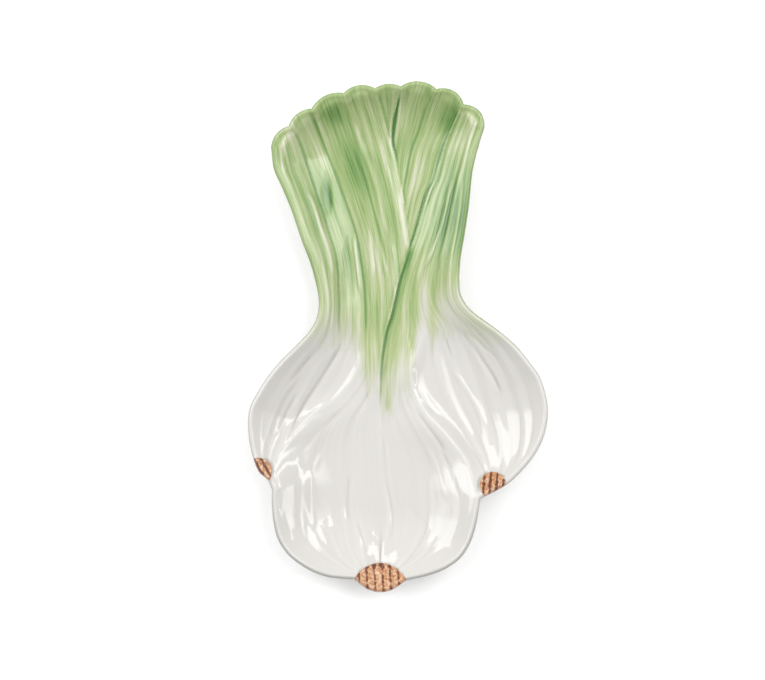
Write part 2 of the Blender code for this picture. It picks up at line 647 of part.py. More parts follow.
def glaze_material():
    """White glaze, the colour of most of the dish."""
    material = bpy.data.materials.new("white_glaze")
    material.use_nodes = True
    shader = material.node_tree.nodes["Principled BSDF"]
    shader.inputs["Base Color"].default_value = (0.80, 0.79, 0.76, 1.0)
    shader.inputs["Roughness"].default_value = 0.12
    shader.inputs["Metallic"].default_value = 0.0
    return material


def make_dish(collection):
    """The dish as one mesh object, centred over the origin and standing on its foot."""
    vertices, faces = dish_mesh()
    vertices = np.array(vertices)
    low, high = vertices.min(axis=0), vertices.max(axis=0)
    scale = LENGTH / (high[1] - low[1])
    middle = np.array([(low[0] + high[0]) / 2, (low[1] + high[1]) / 2, 0.0])
    vertices = (vertices - middle) * np.array([scale, scale, 1.0]) * MM
    mesh = bpy.data.meshes.new("dish")
    mesh.from_pydata(vertices.tolist(), [], faces)
    mesh.materials.append(glaze_material())
    mesh.shade_smooth()
    dish = bpy.data.objects.new("dish", mesh)
    collection.objects.link(dish)
    return dish


for old in list(bpy.data.objects):
    bpy.data.objects.remove(old, do_unlink=True)
bulb_bunch = bpy.data.collections.new("bulb_bunch_dish")
bpy.context.scene.collection.children.link(bulb_bunch)
make_dish(bulb_bunch)
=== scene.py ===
"""Looks of the glazed serving dish moulded as a bunch of three bulbs with a fan of leaves.

The dish is remade here as one finely meshed piece on the same driving sizes as its solid,
with the leaf veins, creases and painted glaze that the solid leaves out.
Sizes and places in this script are millimetres. MM turns them into metres for Blender.
"""

import math

import bpy
import numpy as np
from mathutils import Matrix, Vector
from mathutils.geometry import delaunay_2d_cdt


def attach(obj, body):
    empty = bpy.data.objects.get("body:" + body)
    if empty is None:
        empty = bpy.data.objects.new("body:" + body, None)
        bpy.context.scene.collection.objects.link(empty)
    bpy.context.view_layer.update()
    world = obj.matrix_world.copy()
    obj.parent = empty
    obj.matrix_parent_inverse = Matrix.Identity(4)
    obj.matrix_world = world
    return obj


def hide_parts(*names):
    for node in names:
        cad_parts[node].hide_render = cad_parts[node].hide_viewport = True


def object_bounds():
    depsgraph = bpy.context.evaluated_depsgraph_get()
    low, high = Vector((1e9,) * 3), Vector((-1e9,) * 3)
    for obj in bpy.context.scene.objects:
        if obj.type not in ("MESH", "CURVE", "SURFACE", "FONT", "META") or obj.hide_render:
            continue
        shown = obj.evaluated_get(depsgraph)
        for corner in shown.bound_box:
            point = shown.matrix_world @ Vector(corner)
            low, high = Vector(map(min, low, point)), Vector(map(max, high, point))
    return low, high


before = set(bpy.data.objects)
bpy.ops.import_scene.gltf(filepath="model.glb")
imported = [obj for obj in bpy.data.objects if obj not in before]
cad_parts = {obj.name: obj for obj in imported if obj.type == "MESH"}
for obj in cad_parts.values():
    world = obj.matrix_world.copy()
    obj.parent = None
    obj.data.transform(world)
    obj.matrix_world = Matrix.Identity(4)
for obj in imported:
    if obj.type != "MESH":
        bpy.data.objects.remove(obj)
CAD_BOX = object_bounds()

MM = 0.001

# Driving sizes
BULB_RIM = 24.0         # height of the rim round the bulbs
NECK_RIM = 21.5         # height of the rim at the necks
TIP_RIM = 28.0          # height of the rim at the leaf tips
BULB_FLOOR = 7.5        # height of the inside floor in the bulbs
LEAF_FLOOR = 10.5       # height of the inside floor under the leaf tips
WALL = 4.9              # thickness of the floor, measured upright
LIP = 2.2               # radius of the round lip
BULB_WALL_RUN = 40.0    # how far the wall reaches inwards from the lip round the bulbs
NECK_WALL_RUN = 26.0
TIP_WALL_RUN = 44.0
WALL_POWER = 2.1        # how quickly the wall flattens into the floor
LEAF_WALL_POWER = 2.8   # the same round the leaves, whose wall runs out more softly
FOOT_HALF = 2.0         # half of the foot ring's flat width
FOOT_SLANT = 1.0        # how far the ring's sides lean out

# Steps along Y at which those heights and runs are met: roots, bulbs, necks, leaves, tips
HEIGHT_STEPS = (-150.0, -50.0, 20.0, 80.0, 146.0)

# Mesh spacing
GRID = 0.80             # spacing of the glazed face's points
OUTLINE_STEP = 0.85
TIP_STEP = 0.85
FINE_STEP = 1.2         # step of the lines that distances are measured to
UNDER_GRID = 3.2        # spacing of the back's points
FOOT_STEP = 3.0         # step of the foot ring's line
UNDER_STEP = 2.0        # step of the loop just inside the lip on the back
UNDER_LOOP = 1.5        # how far that loop and the outermost ones of the foot ring stand off
UNDER_CLEAR = 3.0       # how near to the lip and to the foot ring the back's grid stops
LIP_CLEAR = 0.6         # how near to the lip the glazed face's grid stops, in grid steps
LATTICE_X = 90.0        # half width and half length of the grids
LATTICE_Y = 152.0
SAME_POINT = 1e-5       # points nearer than this are one
SOLE_HEIGHT = 0.01      # faces lower than this are the foot ring's sole
LIP_RINGS = (1.0, 0.62, 0.29, 0.08)     # depths of the rings round the lip, in lip radii
EDGE_CLEAR = 0.45       # how near to a leaf edge's own points the grid stops, in grid steps
CURVE_SAMPLES = 24      # samples between two given points of a curve
TIP_SAMPLES = 60        # samples along one leaf tip
BOX_MARGIN = 0.02       # how far the piece stays inside the solid's box

# Fine relief and glaze that the solid leaves out
TABLE = 97              # side of the table of random values
LEAF_VEINS = (2.3, 1.25, 70.0)      # widths of wide and narrow ribs, length over which they change
LEAF_VEIN_DEPTH = 0.085
BULB_VEINS = (3.6, 1.8, 60.0)
BULB_VEIN_DEPTH = 0.085
NARROW_SHARE = 0.55     # height of the narrow ribs as a share of the wide ones'
LEAF_SEEDS = 10         # step from one leaf's random numbers to the next one's
LEAF_STROKES = 60.0     # step from one leaf's scale across its strokes to the next one's
POCKET_STROKES = 500.0  # start of that scale between the leaves
BULB_STROKES = 1000.0   # start of that scale on the bulbs
FLUTE_STROKES = 10.0    # it goes up by this many of the bulb's own widths
CREASE_SHARE = 0.55     # all the creases' heights are scaled by this
CREASE_FADE = 9.0       # length over which a crease fades at its ends
CREASE_STEP = 2.0       # step of a crease's own line
CREASE_REACH = 3.0      # half widths from its line's box to which a crease is worked out
HOLLOW_SHADE_REACH = 1.3        # how far to each side the painted shade of hollows looks for higher ground

# Single creases and folds: path, height and half width
CREASES = (
    (((-48.1, -7.6), (-57, -18), (-66.3, -31.1)), -0.75, 1.5),
    (((-32.9, -4.7), (-46, -25), (-58, -44), (-63.4, -54.6)), -0.8, 1.6),
    (((-57.5, -20.5), (-69, -37), (-75.1, -51.7), (-77.5, -63.4)), 0.7, 1.5),
    (((-41, -8), (-53, -27), (-63, -46)), 0.5, 1.6),
    (((-59, -32), (-66.5, -46), (-71, -61)), -0.7, 1.3),
    (((-25, -106), (-21, -120), (-17.5, -132)), -0.6, 1.2),
    (((26.4, 4.1), (30, -6), (33.5, -16.4)), -0.7, 1.3),
    (((35.2, 7), (48.7, -11.7), (57, -24), (62.8, -36.4)), -1, 1.5),
    (((39.3, 4.1), (50, -5), (59.9, -14.7)), -0.7, 1.3),
    (((32.3, -18.2), (42.3, -34), (48.1, -44), (55.2, -66.3)), 0.8, 1.5),
    (((9.4, -41.7), (20, -56), (30.5, -71)), -0.9, 1.6),
    (((39.9, -73.4), (43, -84), (45.2, -95.7)), 0.7, 1.3),
    (((24, -64), (31.5, -79), (36, -96)), -0.7, 1.3),
    (((17, -64), (24.5, -80), (29, -99)), 0.5, 1.3),
    (((12.9, -28.2), (20, -40), (28.2, -48.7)), 0.7, 1.2),
    (((-31.1, -42.9), (-45.8, -54.6), (-57.5, -69.3)), -0.6, 2),
    (((-8.8, -54.6), (-7, -83.9), (-2.9, -107.4), (-4.7, -125)), -0.5, 1.6),
    (((-28.2, -78), (-29.9, -101.6), (-28.2, -113.3)), -0.45, 1.8),
    (((-42.9, -66.3), (-48, -75), (-50.5, -83.9)), 0.3, 1.3),
    (((-55.8, 87.5), (-50.5, 80.4), (-45.8, 65.7), (-41.7, 54), (-37, 33.5)), 0.75, 1.4),
    (((-17, 65.7), (-15.5, 50), (-14.1, 33.5)), 0.6, 1.1),
    (((-11.7, 59.9), (-8.5, 46), (-5.3, 32.3)), 0.7, 1.2),
    (((-26.4, 62.8), (-24, 43), (-21.7, 22.9)), 0.7, 1.1),
    (((25.2, 106.8), (19, 86), (14.7, 71.6)), 0.7, 1),
    (((31.7, 92.2), (24.7, 62.8), (15.8, 39.3)), 0.6, 1),
    (((37, 101), (30.5, 68.7), (23.5, 39.3)), 0.6, 1),
)

# Outline in plan, from the notch right of the centre bulb, anticlockwise
RIGHT_SIDE = (
    (48.4, -95.4), (54, -92.5), (59.3, -89.8), (66.3, -85.1), (73.4, -78.1), (79.2, -71),
    (84.5, -61.6), (87.8, -48.7), (87.5, -38.2), (83.4, -24.1), (77.5, -15.3), (69.3, -5.3),
    (59.9, 2.9), (51.7, 8.8), (45.2, 13.5), (40.5, 18.2), (37, 24.7), (36.1, 33.5),
    (37, 46.4), (39.3, 60.5), (41.7, 76.9), (44, 98), (47.5, 112.1), (50.5, 121.5))
TIP_NOTCHES = (
    (50.5, 121.5), (38.5, 135.6), (22.6, 144.6), (1.6, 146.2), (-13.5, 145), (-31.7, 142.3),
    (-50.5, 133.2), (-64, 123), (-74.3, 109.8))
TIP_BULGES = (4.6, 4.1, 3.9, 2.2, 3.4, 3.5, 2.8, 3.0)
TIPS = tuple(zip(TIP_NOTCHES, TIP_NOTCHES[1:], TIP_BULGES))     # start, end and bulge of each leaf tip
LEFT_SIDE = (
    (-74.3, 109.8), (-72.8, 98), (-68.7, 88.6), (-62.8, 74.5), (-56.4, 55.8), (-51.1, 41.7),
    (-47.5, 27.6), (-46.5, 18.8), (-48.1, 10), (-52.2, 2.9), (-59.9, -5.3), (-69.3, -14.7),
    (-76.9, -24.1), (-82.8, -33.5), (-86.9, -41.7), (-88, -51.1), (-87.2, -61.6),
    (-85.1, -71), (-81.6, -79.5), (-76.3, -84.5), (-74, -89.8))
CENTRE_LEFT = (
    (-74, -89.8), (-74, -99.2), (-73.1, -108.6), (-70.4, -119.2), (-64.6, -128),
    (-57.5, -133.8), (-50.5, -137.9), (-42.3, -140.9), (-34, -142.1), (-25.8, -142.6))
ROOT_BULGE = ((-25.8, -142.6), (-17.6, -148.5), (-10.6, -150.1), (-3.5, -148.8), (4.7, -143.2))
CENTRE_RIGHT = (
    (4.7, -143.2), (12.9, -141.5), (20.5, -139.4), (28.8, -135.9), (36.4, -130.3),
    (41.7, -122.7), (45.2, -113.3), (47, -104.5), (48.4, -95.4))

# Lines in plan where one leaf passes over the next, from the tips down
LEFT_LEAF_EDGE = (
    (-66.9, 132.1), (-63.4, 125), (-59.3, 116.8), (-54.6, 103.9), (-47, 80.4),
    (-40.4, 59.9), (-36.8, 48.1), (-35.5, 36.4), (-35.2, 21.7), (-35.5, -4.7))
VALLEY = (
    (-52.8, 139.1), (-50.2, 132.7), (-43.8, 115.6), (-39.2, 103.9), (-34.7, 92.2),
    (-27, 69.9), (-23.8, 59.9), (-19.6, 35.8), (-18.2, 15.8), (-18.2, -4.7))
MIDDLE_LEAF_EDGE = (
    (-14.1, 147.9), (-9, 133.2), (-3.4, 112.7), (0.5, 95.1), (3.6, 77.5), (7, 51.1),
    (8.4, 21.7), (8.2, -7.6))
KEEL = (
    (-31.7, 143.8), (-25.2, 128.6), (-21.1, 112.7), (-13.5, 92.2), (-7, 59.9), (-3.5, 48.1),
    (-1.8, 27.6), (-1.2, 4.1))
TIP_LEAF_EDGE = ((2.3, 148.5), (0, 139.1), (-2.9, 128.6), (-3.8, 115.6), (-2.3, 106.8))
BACK_LEAF_EDGE = ((2.3, 148.5), (1.2, 139.1), (0, 128.6), (-1.8, 115.6), (-1.2, 86.3))
BACK_LINE = ((23.5, 147.3), (18.8, 139.1), (12.9, 121.5), (8.2, 109.8), (4.1, 89.2), (0, 65.7))
RIGHT_LEAF_EDGE = (
    (39.9, 140.3), (35.2, 130.3), (29.9, 118.6), (26.4, 109.8), (21.7, 92.2), (17.6, 83.4),
    (10.6, 59.9), (2.3, 36.4), (-3.5, 12.9), (-7, 1.2), (-9.4, -13.5), (-10.6, -37))
FAR_LEFT = ((-82, 139), (-77, 124)) + LEFT_SIDE[:12]
FAR_RIGHT = ((56, 142), (53, 130)) + RIGHT_SIDE[:11:-1]

# Hollows between leaves: two edges each
UPPER_POCKET = (
    ((-42.9, 99.2), (-45.2, 87.5), (-44.6, 76.3), (-41.1, 65.7)),
    ((-42.9, 99.2), (-39.9, 92.2), (-39.3, 78.7), (-41.1, 65.7)))
LOWER_POCKET = (
    ((-29.9, 61), (-32, 51.1), (-32.9, 36.4), (-32.7, 17)),
    ((-29.9, 61), (-28.2, 51.1), (-26.4, 39.3), (-25.8, 17)))

# Leaves from the back forwards: left edge, right edge, height at the edges, crown, number of pleats,
# their depth, and width of the strokes' scale across the leaf
LEAVES = (
    (MIDDLE_LEAF_EDGE, TIP_LEAF_EDGE, 0.2, 0.4, 2, 0.05, 12),
    (BACK_LEAF_EDGE, BACK_LINE, 0, 0.5, 3, 0.06, 14),
    (BACK_LINE, RIGHT_LEAF_EDGE, 0, 0.5, 4, 0.06, 17),
    (LEFT_LEAF_EDGE, VALLEY, 0.1, 0.6, 2, 0.08, 20),
)
FRONT_LEAVES = (
    (VALLEY, MIDDLE_LEAF_EDGE, 0.5, 0.9, 6, 0.06, 30),
    (FAR_LEFT, LEFT_LEAF_EDGE, 0.5, 0.9, 4, 0.06, 24),
    (RIGHT_LEAF_EDGE, FAR_RIGHT, 0.6, 1, 6, 0.1, 34),
)

# Where a leaf steps down to its neighbour: edge, lowest and highest Y that show, and side of the lower leaf
LEAF_STEPS = (
    (LEFT_LEAF_EDGE, -2, 124, 1), (VALLEY, -2, 134, -1), (MIDDLE_LEAF_EDGE, 54, 140, 1),
    (RIGHT_LEAF_EDGE, -34, 132, -1), (BACK_LINE, 92, 140, 1), (BACK_LEAF_EDGE, 110, 140, -1),
    (TIP_LEAF_EDGE, 114, 140, 1))

# Ridges where the centre bulb stands in front of its neighbours
LEFT_RIDGE = (
    (-18.2, 7), (-19.4, -4.7), (-21.7, -13.5), (-25.8, -23.5), (-31.1, -31.1), (-37, -37),
    (-45.8, -42.9), (-54.6, -50.5), (-66.9, -65.7), (-71, -72.8), (-72.5, -82.8), (-73.4, -91.6))
RIGHT_RIDGE = (
    (6.5, -7.6), (7.6, -25.2), (12.3, -38.2), (17, -45.8), (22.9, -51.7), (31.7, -61.6),
    (39.3, -72.2), (42.9, -81), (45.2, -88.6), (47.5, -95.1))
RIDGE_HEIGHT = 6.2
RIDGE_STEPS = (-94.0, -62.0, -30.0, 6.0)
RIDGE_SHARES = (0.7, 1.0, 0.36, 0.0)    # share of the full height met at each step
RIDGE_INSIDE = 14.0                     # how wide a ridge is on the centre bulb's side
RIDGE_OUTSIDE = 4.4
RIDGE_POWER = 1.5                       # how sharp a ridge's crest is
RIDGE_BLEND = 3.0                       # width over which the flutes change from bulb to bulb

# Edges between which each bulb's flutes run from its neck to its root
CENTRE_FLOW = (
    ((-18.2, 15.8), (-19.4, -4.7), (-25.8, -23.5), (-37, -37), (-54.6, -50.5), (-66.9, -65.7),
     (-72.8, -92.7), (-69.3, -110.4), (-58.7, -125), (-39.9, -135.6), (-15.3, -141.5)),
    ((6.5, -7.6), (7.6, -25.2), (12.3, -38.2), (22.9, -51.7), (31.7, -61.6), (39.9, -75.1),
     (45.2, -101.6), (41.1, -114.5), (29.3, -126.8), (12.9, -135.6), (-5.9, -141.5)))
LEFT_FLOW = (
    LEFT_SIDE[6:20],
    ((-18.8, 21.7), (-19.4, -4.7), (-24.7, -23.5), (-34, -37), (-51.7, -60.5), (-63.4, -73.4)))
RIGHT_FLOW = (
    ((10, 12.9), (11.7, -25.2), (18.8, -41.7), (31.7, -58.1), (42.3, -71), (51.7, -83.9)),
    RIGHT_SIDE[2:17])
# Edges, number of flutes, their depth, and width of the strokes' scale across the bulb
CENTRE_FLUTES = (CENTRE_FLOW, 7, 0.09, 110.0)
LEFT_FLUTES = (LEFT_FLOW, 4, 0.14, 62.0)
RIGHT_FLUTES = (RIGHT_FLOW, 5, 0.22, 66.0)
FINE_FLUTES = (1.7, 0.5, 0.2)           # finer flutes over them: times as many, share of depth, shift
FLUTE_FADE = 6.0                        # the flutes fade over one part in six at each edge
FLUTE_NARROW = 70.0                     # the flutes grow shallow where their bulb is narrower

# Line along which the green leaves turn into white bulbs
GREEN_END = (
    (-51.7, 1.2), (-25.2, 1.2), (-16.4, -34), (-1.8, -37), (8.2, -25.2), (15.8, -7.6),
    (36.4, 8.8), (54, 11.2))
GREEN_FADE = 26.0
STROKE_SHARE = 0.08      # share of leaf down to which the paint still follows the leaves

# Root plates: centre, radius, direction across the grooves in degrees, groove spacing
ROOTS = (
    ((-10.6, -151.4), 17.9, 4, 4.6),
    ((-82.2, -79.5), 8.4, 30, 3.7),
    ((55.8, -87.5), 7.9, -6, 3.7))
ROOT_STAND = 1.3        # how far a root plate stands out
ROOT_GROOVE = 0.9       # depth of its grooves
GROOVE_POWER = 4        # how narrow the grooves are
ROOT_EDGE = 1.4         # width of a root plate's rounded edge

# Middle line of the foot ring
FOOT = (
    (-10, -114), (14, -110), (34, -96), (49, -72), (52, -48), (42, -25),
    (24, -2), (13, 26), (13, 58), (15, 86), (4, 106), (-18, 111),
    (-40, 104), (-42, 82), (-33, 52), (-26, 20), (-34, -6), (-51, -26),
    (-60, -50), (-57, -76), (-48, -96), (-31, -110))

# Forms of the relief
EDGE_WIDTH = 0.9        # how wide the step is where one leaf passes over another
NARROWEST = 0.1         # least width of a strip between two lines
KEEL_HEIGHT = 0.35
KEEL_WIDTH = 2.2
POCKET = -0.5           # height of the ground between the leaves, from the trough's floor
POCKET_SHARE = 0.25     # how far down to that ground a pocket reaches
POCKET_SOFT = 3.4       # width over which a pocket's sides slope
SHOULDER = 4            # power that gives a leaf its flat crown and round shoulders
RELIEF_FADE = 4.0       # distance from the lip over which the relief rises
HOLLOW_FADES = (8.0, 3.0)   # lengths over which a hollow fades at its lower and upper end
TIP_ROUND = 0.75        # power that makes a leaf tip blunt
TIP_SOFT = 0.55         # share of the tips' bulges that the wall below them follows
TIP_BLEND = 6.0         # distance from the lip over which the wall leaves the scalloped outline
TIP_ZONE = 85.0         # the wall is softened above this Y
RIM_MERGE = 4.0         # how softly the walls of the sides and of the tips run into each other there

# Painted glaze. Tones run from 0, pale, to 1, dark
PAINT_END = (           # line down to which the green paint reaches
    (-60, 6), (-45.8, 7), (-40, 8), (-34, 4), (-28, 1), (-23, -3), (-20.5, -16),
    (-18, -24), (-13.5, -23), (-8.8, -31), (-1.8, -26), (4.1, -25), (7.6, -26), (10, -5),
    (12.5, 18), (16, 24), (19, 8), (20.5, 0), (22.5, 12), (26, 20), (30.5, 19),
    (36.4, 15), (42.3, 9), (54, 6))
PAINT_SOFT = 20.0       # half of the length over which the paint fades there
YOUNG_REACH = 45.0      # how far above that line the younger green reaches
WIDE_RAGGED = 30.0      # how far the wide and the fine strokes shift that line
FINE_RAGGED = 36.0
TINT_REACH = 30.0       # how far a tint patch of strength 1 shifts it
# Strokes: steps per millimetre across and along, shift, detail, roughness
WIDE_STROKES = (0.25, 0.022, 0.0, 2.0, 0.55)
FINE_STROKES = (1.35, 0.035, 7.0, 3.0, 0.65)
GREEN_TONE = 0.40       # middle tone of the green
WIDE_TONE = 0.65        # how strongly the wide strokes, the fine strokes and the painted shade of hollow ground change it
FINE_TONE = 1.2
HOLLOW_SHADE_TONE = 1.3
WHITE_TONE = 0.35       # tone of the white on level ground
WHITE_HOLLOW_SHADE = 2.2        # how strongly painted shade in hollow ground darkens the white

# Soft oval patches of tone: centre, half length, half width, turn in degrees, strength
TONE_PATCHES = (
    ((-38.2, 130.3), 7, 5.5, 22, 0.42), ((-27, 103), 15, 9, 20, 0.34),
    ((28.8, 126.2), 10, 5, -15, 0.42), ((-40.8, 83), 13, 4, 10, 0.6),
    ((-29.5, 44), 14, 2.4, 6, 0.3), ((-2.9, 126), 11, 2.8, -4, 0.26),
    ((0, 113), 10, 4, -8, 0.22), ((32, 72), 30, 11, -10, 0.4),
    ((-14, 42), 20, 7, 8, -0.22), ((-42.5, 104), 12, 5, 20, -0.24),
    ((37, 114), 9, 8, 0, -0.2), ((-62, 118), 14, 10, 25, -0.2),
    ((4, 16), 20, 7, -10, -0.12), ((10, 92), 14, 5, -14, -0.22),
    ((-40, 58), 14, 4, 10, -0.2), ((-66, 110), 16, 5, 20, 0.16),
    ((-12, 134), 15, 55, 0, 0.03), ((-18, 91), 15, 8, 20, 0.18),
    ((-56, 82), 24, 8, 22, 0.12))
TINT_PATCHES = (        # thin green that reaches further down
    ((-30, -28), 14, 3.5, -50, 0.35), ((-5, -42), 9, 4, 0, 0.4),
    ((24, 6), 14, 7, 40, 0.45))
ROOT_BROWN_AND_SHADE_PATCHES = (        # darker brown on the root plates; the last, along the centre plate's upper edge, is painted shade
    ((-82.2, -79.5), 7, 7, 0, 0.45), ((55.8, -87.5), 7, 7, 0, 0.36),
    ((-10.6, -134.6), 2.2, 14, 0, 0.6))

# Painted shade in the creases and on the lower side of the leaves' edges, partly darker paint, painted
# highlight beside the middle leaf's edge, and paler paint on the keel's crest: line, shift, half width,
# strength, lowest and highest Y
EDGE_SHADE_AND_HIGHLIGHT = (
    (VALLEY, -1, 1.2, 0.24, 0, 136), (RIGHT_LEAF_EDGE, -0.8, 1.6, 0.26, -30, 118),
    (RIGHT_LEAF_EDGE, 1.2, 2.4, 0.28, -28, 56), (MIDDLE_LEAF_EDGE, -1.2, 1.1, -0.22, 52, 130),
    (MIDDLE_LEAF_EDGE, -1.6, 1.4, -0.36, 46, 88), (KEEL, 0, 1.1, -0.3, 60, 128),
    (BACK_LINE, -0.9, 1.2, 0.26, 84, 140), (LEFT_LEAF_EDGE, 0.9, 1.2, 0.14, 0, 120),
    (FAR_RIGHT, -3.6, 1.8, 0.12, 18, 120))
EDGE_SHADE_FADE = 9.0

# Colours as 0 to 255 screen values, some as rows of tone and colour
GREENS = (
    (0.0, (231, 231, 207)), (0.2, (203, 214, 166)), (0.45, (171, 194, 128)), (0.7, (139, 173, 101)),
    (0.88, (110, 154, 82)), (1.0, (84, 132, 64)))
YOUNG_GREENS = (
    (0.0, (228, 231, 206)), (0.3, (206, 215, 166)), (0.55, (188, 203, 144)), (0.8, (164, 188, 120)),
    (1.0, (122, 156, 88)))
WHITES = ((0.0, (240, 238, 234)), (0.5, (233, 230, 225)), (1.0, (204, 200, 192)))
TANS = ((0.28, (188, 110, 64)), (0.5, (224, 166, 118)), (0.68, (252, 226, 196)))
CLAYS = ((0.3, (196, 184, 164)), (0.7, (218, 208, 190)))
GROOVE_BROWN = (118, 62, 34)
ROOT_EDGE_BROWN = (160, 98, 58)
# Painted shade on the lip's outside: grey on the white, olive on the green, partly thinner glaze at the
# edge
WHITE_RIM_SHADE, GREEN_RIM_SHADE = (150, 150, 142), (92, 128, 52)
BACK_WHITE = (226, 224, 219)

# Root plates' glaze: lump sizes with their detail, and ranges over which one colour takes over
TAN_LUMPS = (1.6, 4.0)
GROOVE_LUMPS = (2.6, 2.0)
GROOVE_RAGGED = 1.7     # how strongly the lumps break up the dark grooves
GROOVE_RANGE = (0.5, 0.95)
ROOT_EDGE_RANGE = (1.0, 0.5)
ROOT_EDGE_SHARE = 0.75
ROOT_RANGE = (0.25, 0.75)
ROOT_LIP = 0.4          # how much of a root plate's brown reaches over the lip

# Gloss, lip and back
RIM_SHADE_SHARE = 0.75        # how strongly the painted shade on the lip's outside shows, partly thinner glaze at the edge
RIM_SHADE_REACH, LOW_RIM_SHADE_REACH = 0.5, 1.15        # its width, in lip radii
LOW_RIM_SHADE_START, LOW_RIM_SHADE_FADE = -90.0, 30.0   # the painted shade widens below this Y, where the lip faces away from the lights, over this length
BACK_RIM_SHADE_REACH = 2.5    # width of the painted shade on the back, in lip radii
BACK_FADE = 4.0         # length over which the lip's glaze turns into the back's
GLOSS_ROUGHNESS, GLAZE_IOR = 0.07, 1.52
GLAZE_LUMPS = (3.2, 2.0)
GLAZE_WAVES = 0.021     # height of the lumps in the glaze
HATCH_HEIGHT = 0.06     # height of the brush hatch on the leaves
CLAY_LUMPS, CLAY_GRAIN = (1.2, 5.0), (0.6, 5.0)
CLAY_BUMP = (0.5, 0.08)     # strength and height of the grain
CLAY_ROUGHNESS = 0.85

# Floor
FLOOR_WHITE = 0.97
FLOOR_ROUGHNESS = 0.9
FLOOR_HALF = 4000.0     # half of its side
FLOOR_GAP = 0.05        # keeps the floor clear of the foot ring's sole

# Light
LIGHT_HEIGHT = 1200.0
LIGHTS = (              # left, right, lower and upper edge, length of the lower end's fade, brightness
    ("low_right_box", 290.0, 950.0, -200.0, 430.0, 300.0, 4.6),
    ("high_right_box", 520.0, 950.0, 430.0, 1250.0, 10.0, 4.6),
    ("right_strip", 1270.0, 1470.0, -600.0, 1000.0, 700.0, 6.0),
    ("far_right_strip", 2330.0, 2600.0, -1300.0, 1300.0, 1400.0, 5.6),
    ("left_box", -2150.0, -660.0, -200.0, 1600.0, 300.0, 4.1))
WORLD_GLOW = 0.88
WORLD_SHADE = 0.52      # how much darker the surroundings are low down beyond the root plates
EXPOSED = 0.655         # share of light that the colours keep, since the light blows out the floor

# Camera
LENS, SENSOR = 110.0, 36.0
CLIP = (0.05, 50.0)     # nearest and furthest seen, in metres
PIXEL = 0.587           # millimetres of the dish's rim plane in one pixel of the photograph
FRAME_WIDTH = 765.0
FRAME_RIGHT, FRAME_UP = 15.5, 3.0   # the dish's middle from the picture's, in pixels
RIM_PLANE = 23.0


def smooth(t):
    """Ease from 0 at t=0 to 1 at t=1."""
    t = np.clip(t, 0.0, 1.0)
    return t * t * (3.0 - 2.0 * t)


def eased(t, steps, values):
    """Value at t that eases from each step's value to the next one's."""
    steps, values = np.asarray(steps), np.asarray(values)
    i = np.clip(np.searchsorted(steps, t) - 1, 0, len(steps) - 2)
    share = smooth((t - steps[i]) / (steps[i + 1] - steps[i]))
    return values[i] + (values[i + 1] - values[i]) * share


def between(t, start, end, a, b):
    """Value at t on the straight way from a at start to b at end."""
    return (end - t) / (end - start) * a + (t - start) / (end - start) * b


def curve(points, step, closed=False):
    """Centripetal Catmull-Rom curve through the points, sampled about every step."""
    p = np.array(points, float)
    if closed:
        p = np.vstack([p[-1:], p, p[:2]])
    else:
        p = np.vstack([2 * p[0] - p[1], p, 2 * p[-1] - p[-2]])
    samples = []
    for i in range(1, len(p) - 2):
        a, b, c, d = p[i - 1:i + 3]
        ta = 0.0
        tb = ta + math.sqrt(np.linalg.norm(b - a))
        tc = tb + math.sqrt(np.linalg.norm(c - b))
        td = tc + math.sqrt(np.linalg.norm(d - c))
        t = np.linspace(tb, tc, CURVE_SAMPLES, endpoint=False)[:, None]
        ab, bc, cd = between(t, ta, tb, a, b), between(t, tb, tc, b, c), between(t, tc, td, c, d)
        abc, bcd = between(t, ta, tc, ab, bc), between(t, tb, td, bc, cd)
        samples.append(between(t, tb, tc, abc, bcd))
    line = np.vstack(samples + [p[-2:-1]])
    return spaced(line, step)


def spaced(line, step):
    """The line's own path with points at even distances of about step, ends kept."""
    run = np.concatenate([[0.0], np.cumsum(np.linalg.norm(np.diff(line, axis=0), axis=1))])
    count = max(2, int(round(run[-1] / step)) + 1)
    at = np.linspace(0.0, run[-1], count)
    return np.column_stack([np.interp(at, run, line[:, 0]), np.interp(at, run, line[:, 1])])


def outward(start, end):
    """Unit vector out of the dish, square to the line between two notches."""
    out = np.array([end[1] - start[1], start[0] - end[0]])
    return out / np.linalg.norm(out)


def leaf_tip(start, end, bulge, step):
    """Rounded leaf tip between two notches, standing out by bulge."""
    start, end = np.array(start), np.array(end)
    t = np.linspace(0.0, 1.0, TIP_SAMPLES)[:, None]
    line = start + (end - start) * t + outward(start, end) * bulge * np.sin(math.pi * t) ** TIP_ROUND
    return spaced(line, step)


def outline(step):
    """Closed outline of the dish in plan, anticlockwise, first point repeated at the end."""
    spans = [curve(RIGHT_SIDE, step)]
    for start, end, bulge in TIPS:
        spans.append(leaf_tip(start, end, bulge, min(step, TIP_STEP)))
    spans += [curve(part, step) for part in (LEFT_SIDE, CENTRE_LEFT, ROOT_BULGE, CENTRE_RIGHT)]
    return np.vstack([span[:-1] for span in spans] + [spans[0][:1]])


def distance(points, line):
    """Distance from each point to a line of straight runs."""
    best = np.full(len(points), np.inf)
    for a, b in zip(line[:-1], line[1:]):
        run = b - a
        gap = points - a
        t = np.clip(gap @ run / (run @ run), 0.0, 1.0)
        gap = gap - t[:, None] * run
        best = np.minimum(best, np.einsum("ij,ij->i", gap, gap))
    return np.sqrt(best)


def edge_at(points, y):
    """X of a line that runs along Y, read at y."""
    line = curve(points, FINE_STEP)
    line = line[np.argsort(line[:, 1])]
    return np.interp(y, line[:, 1], line[:, 0])


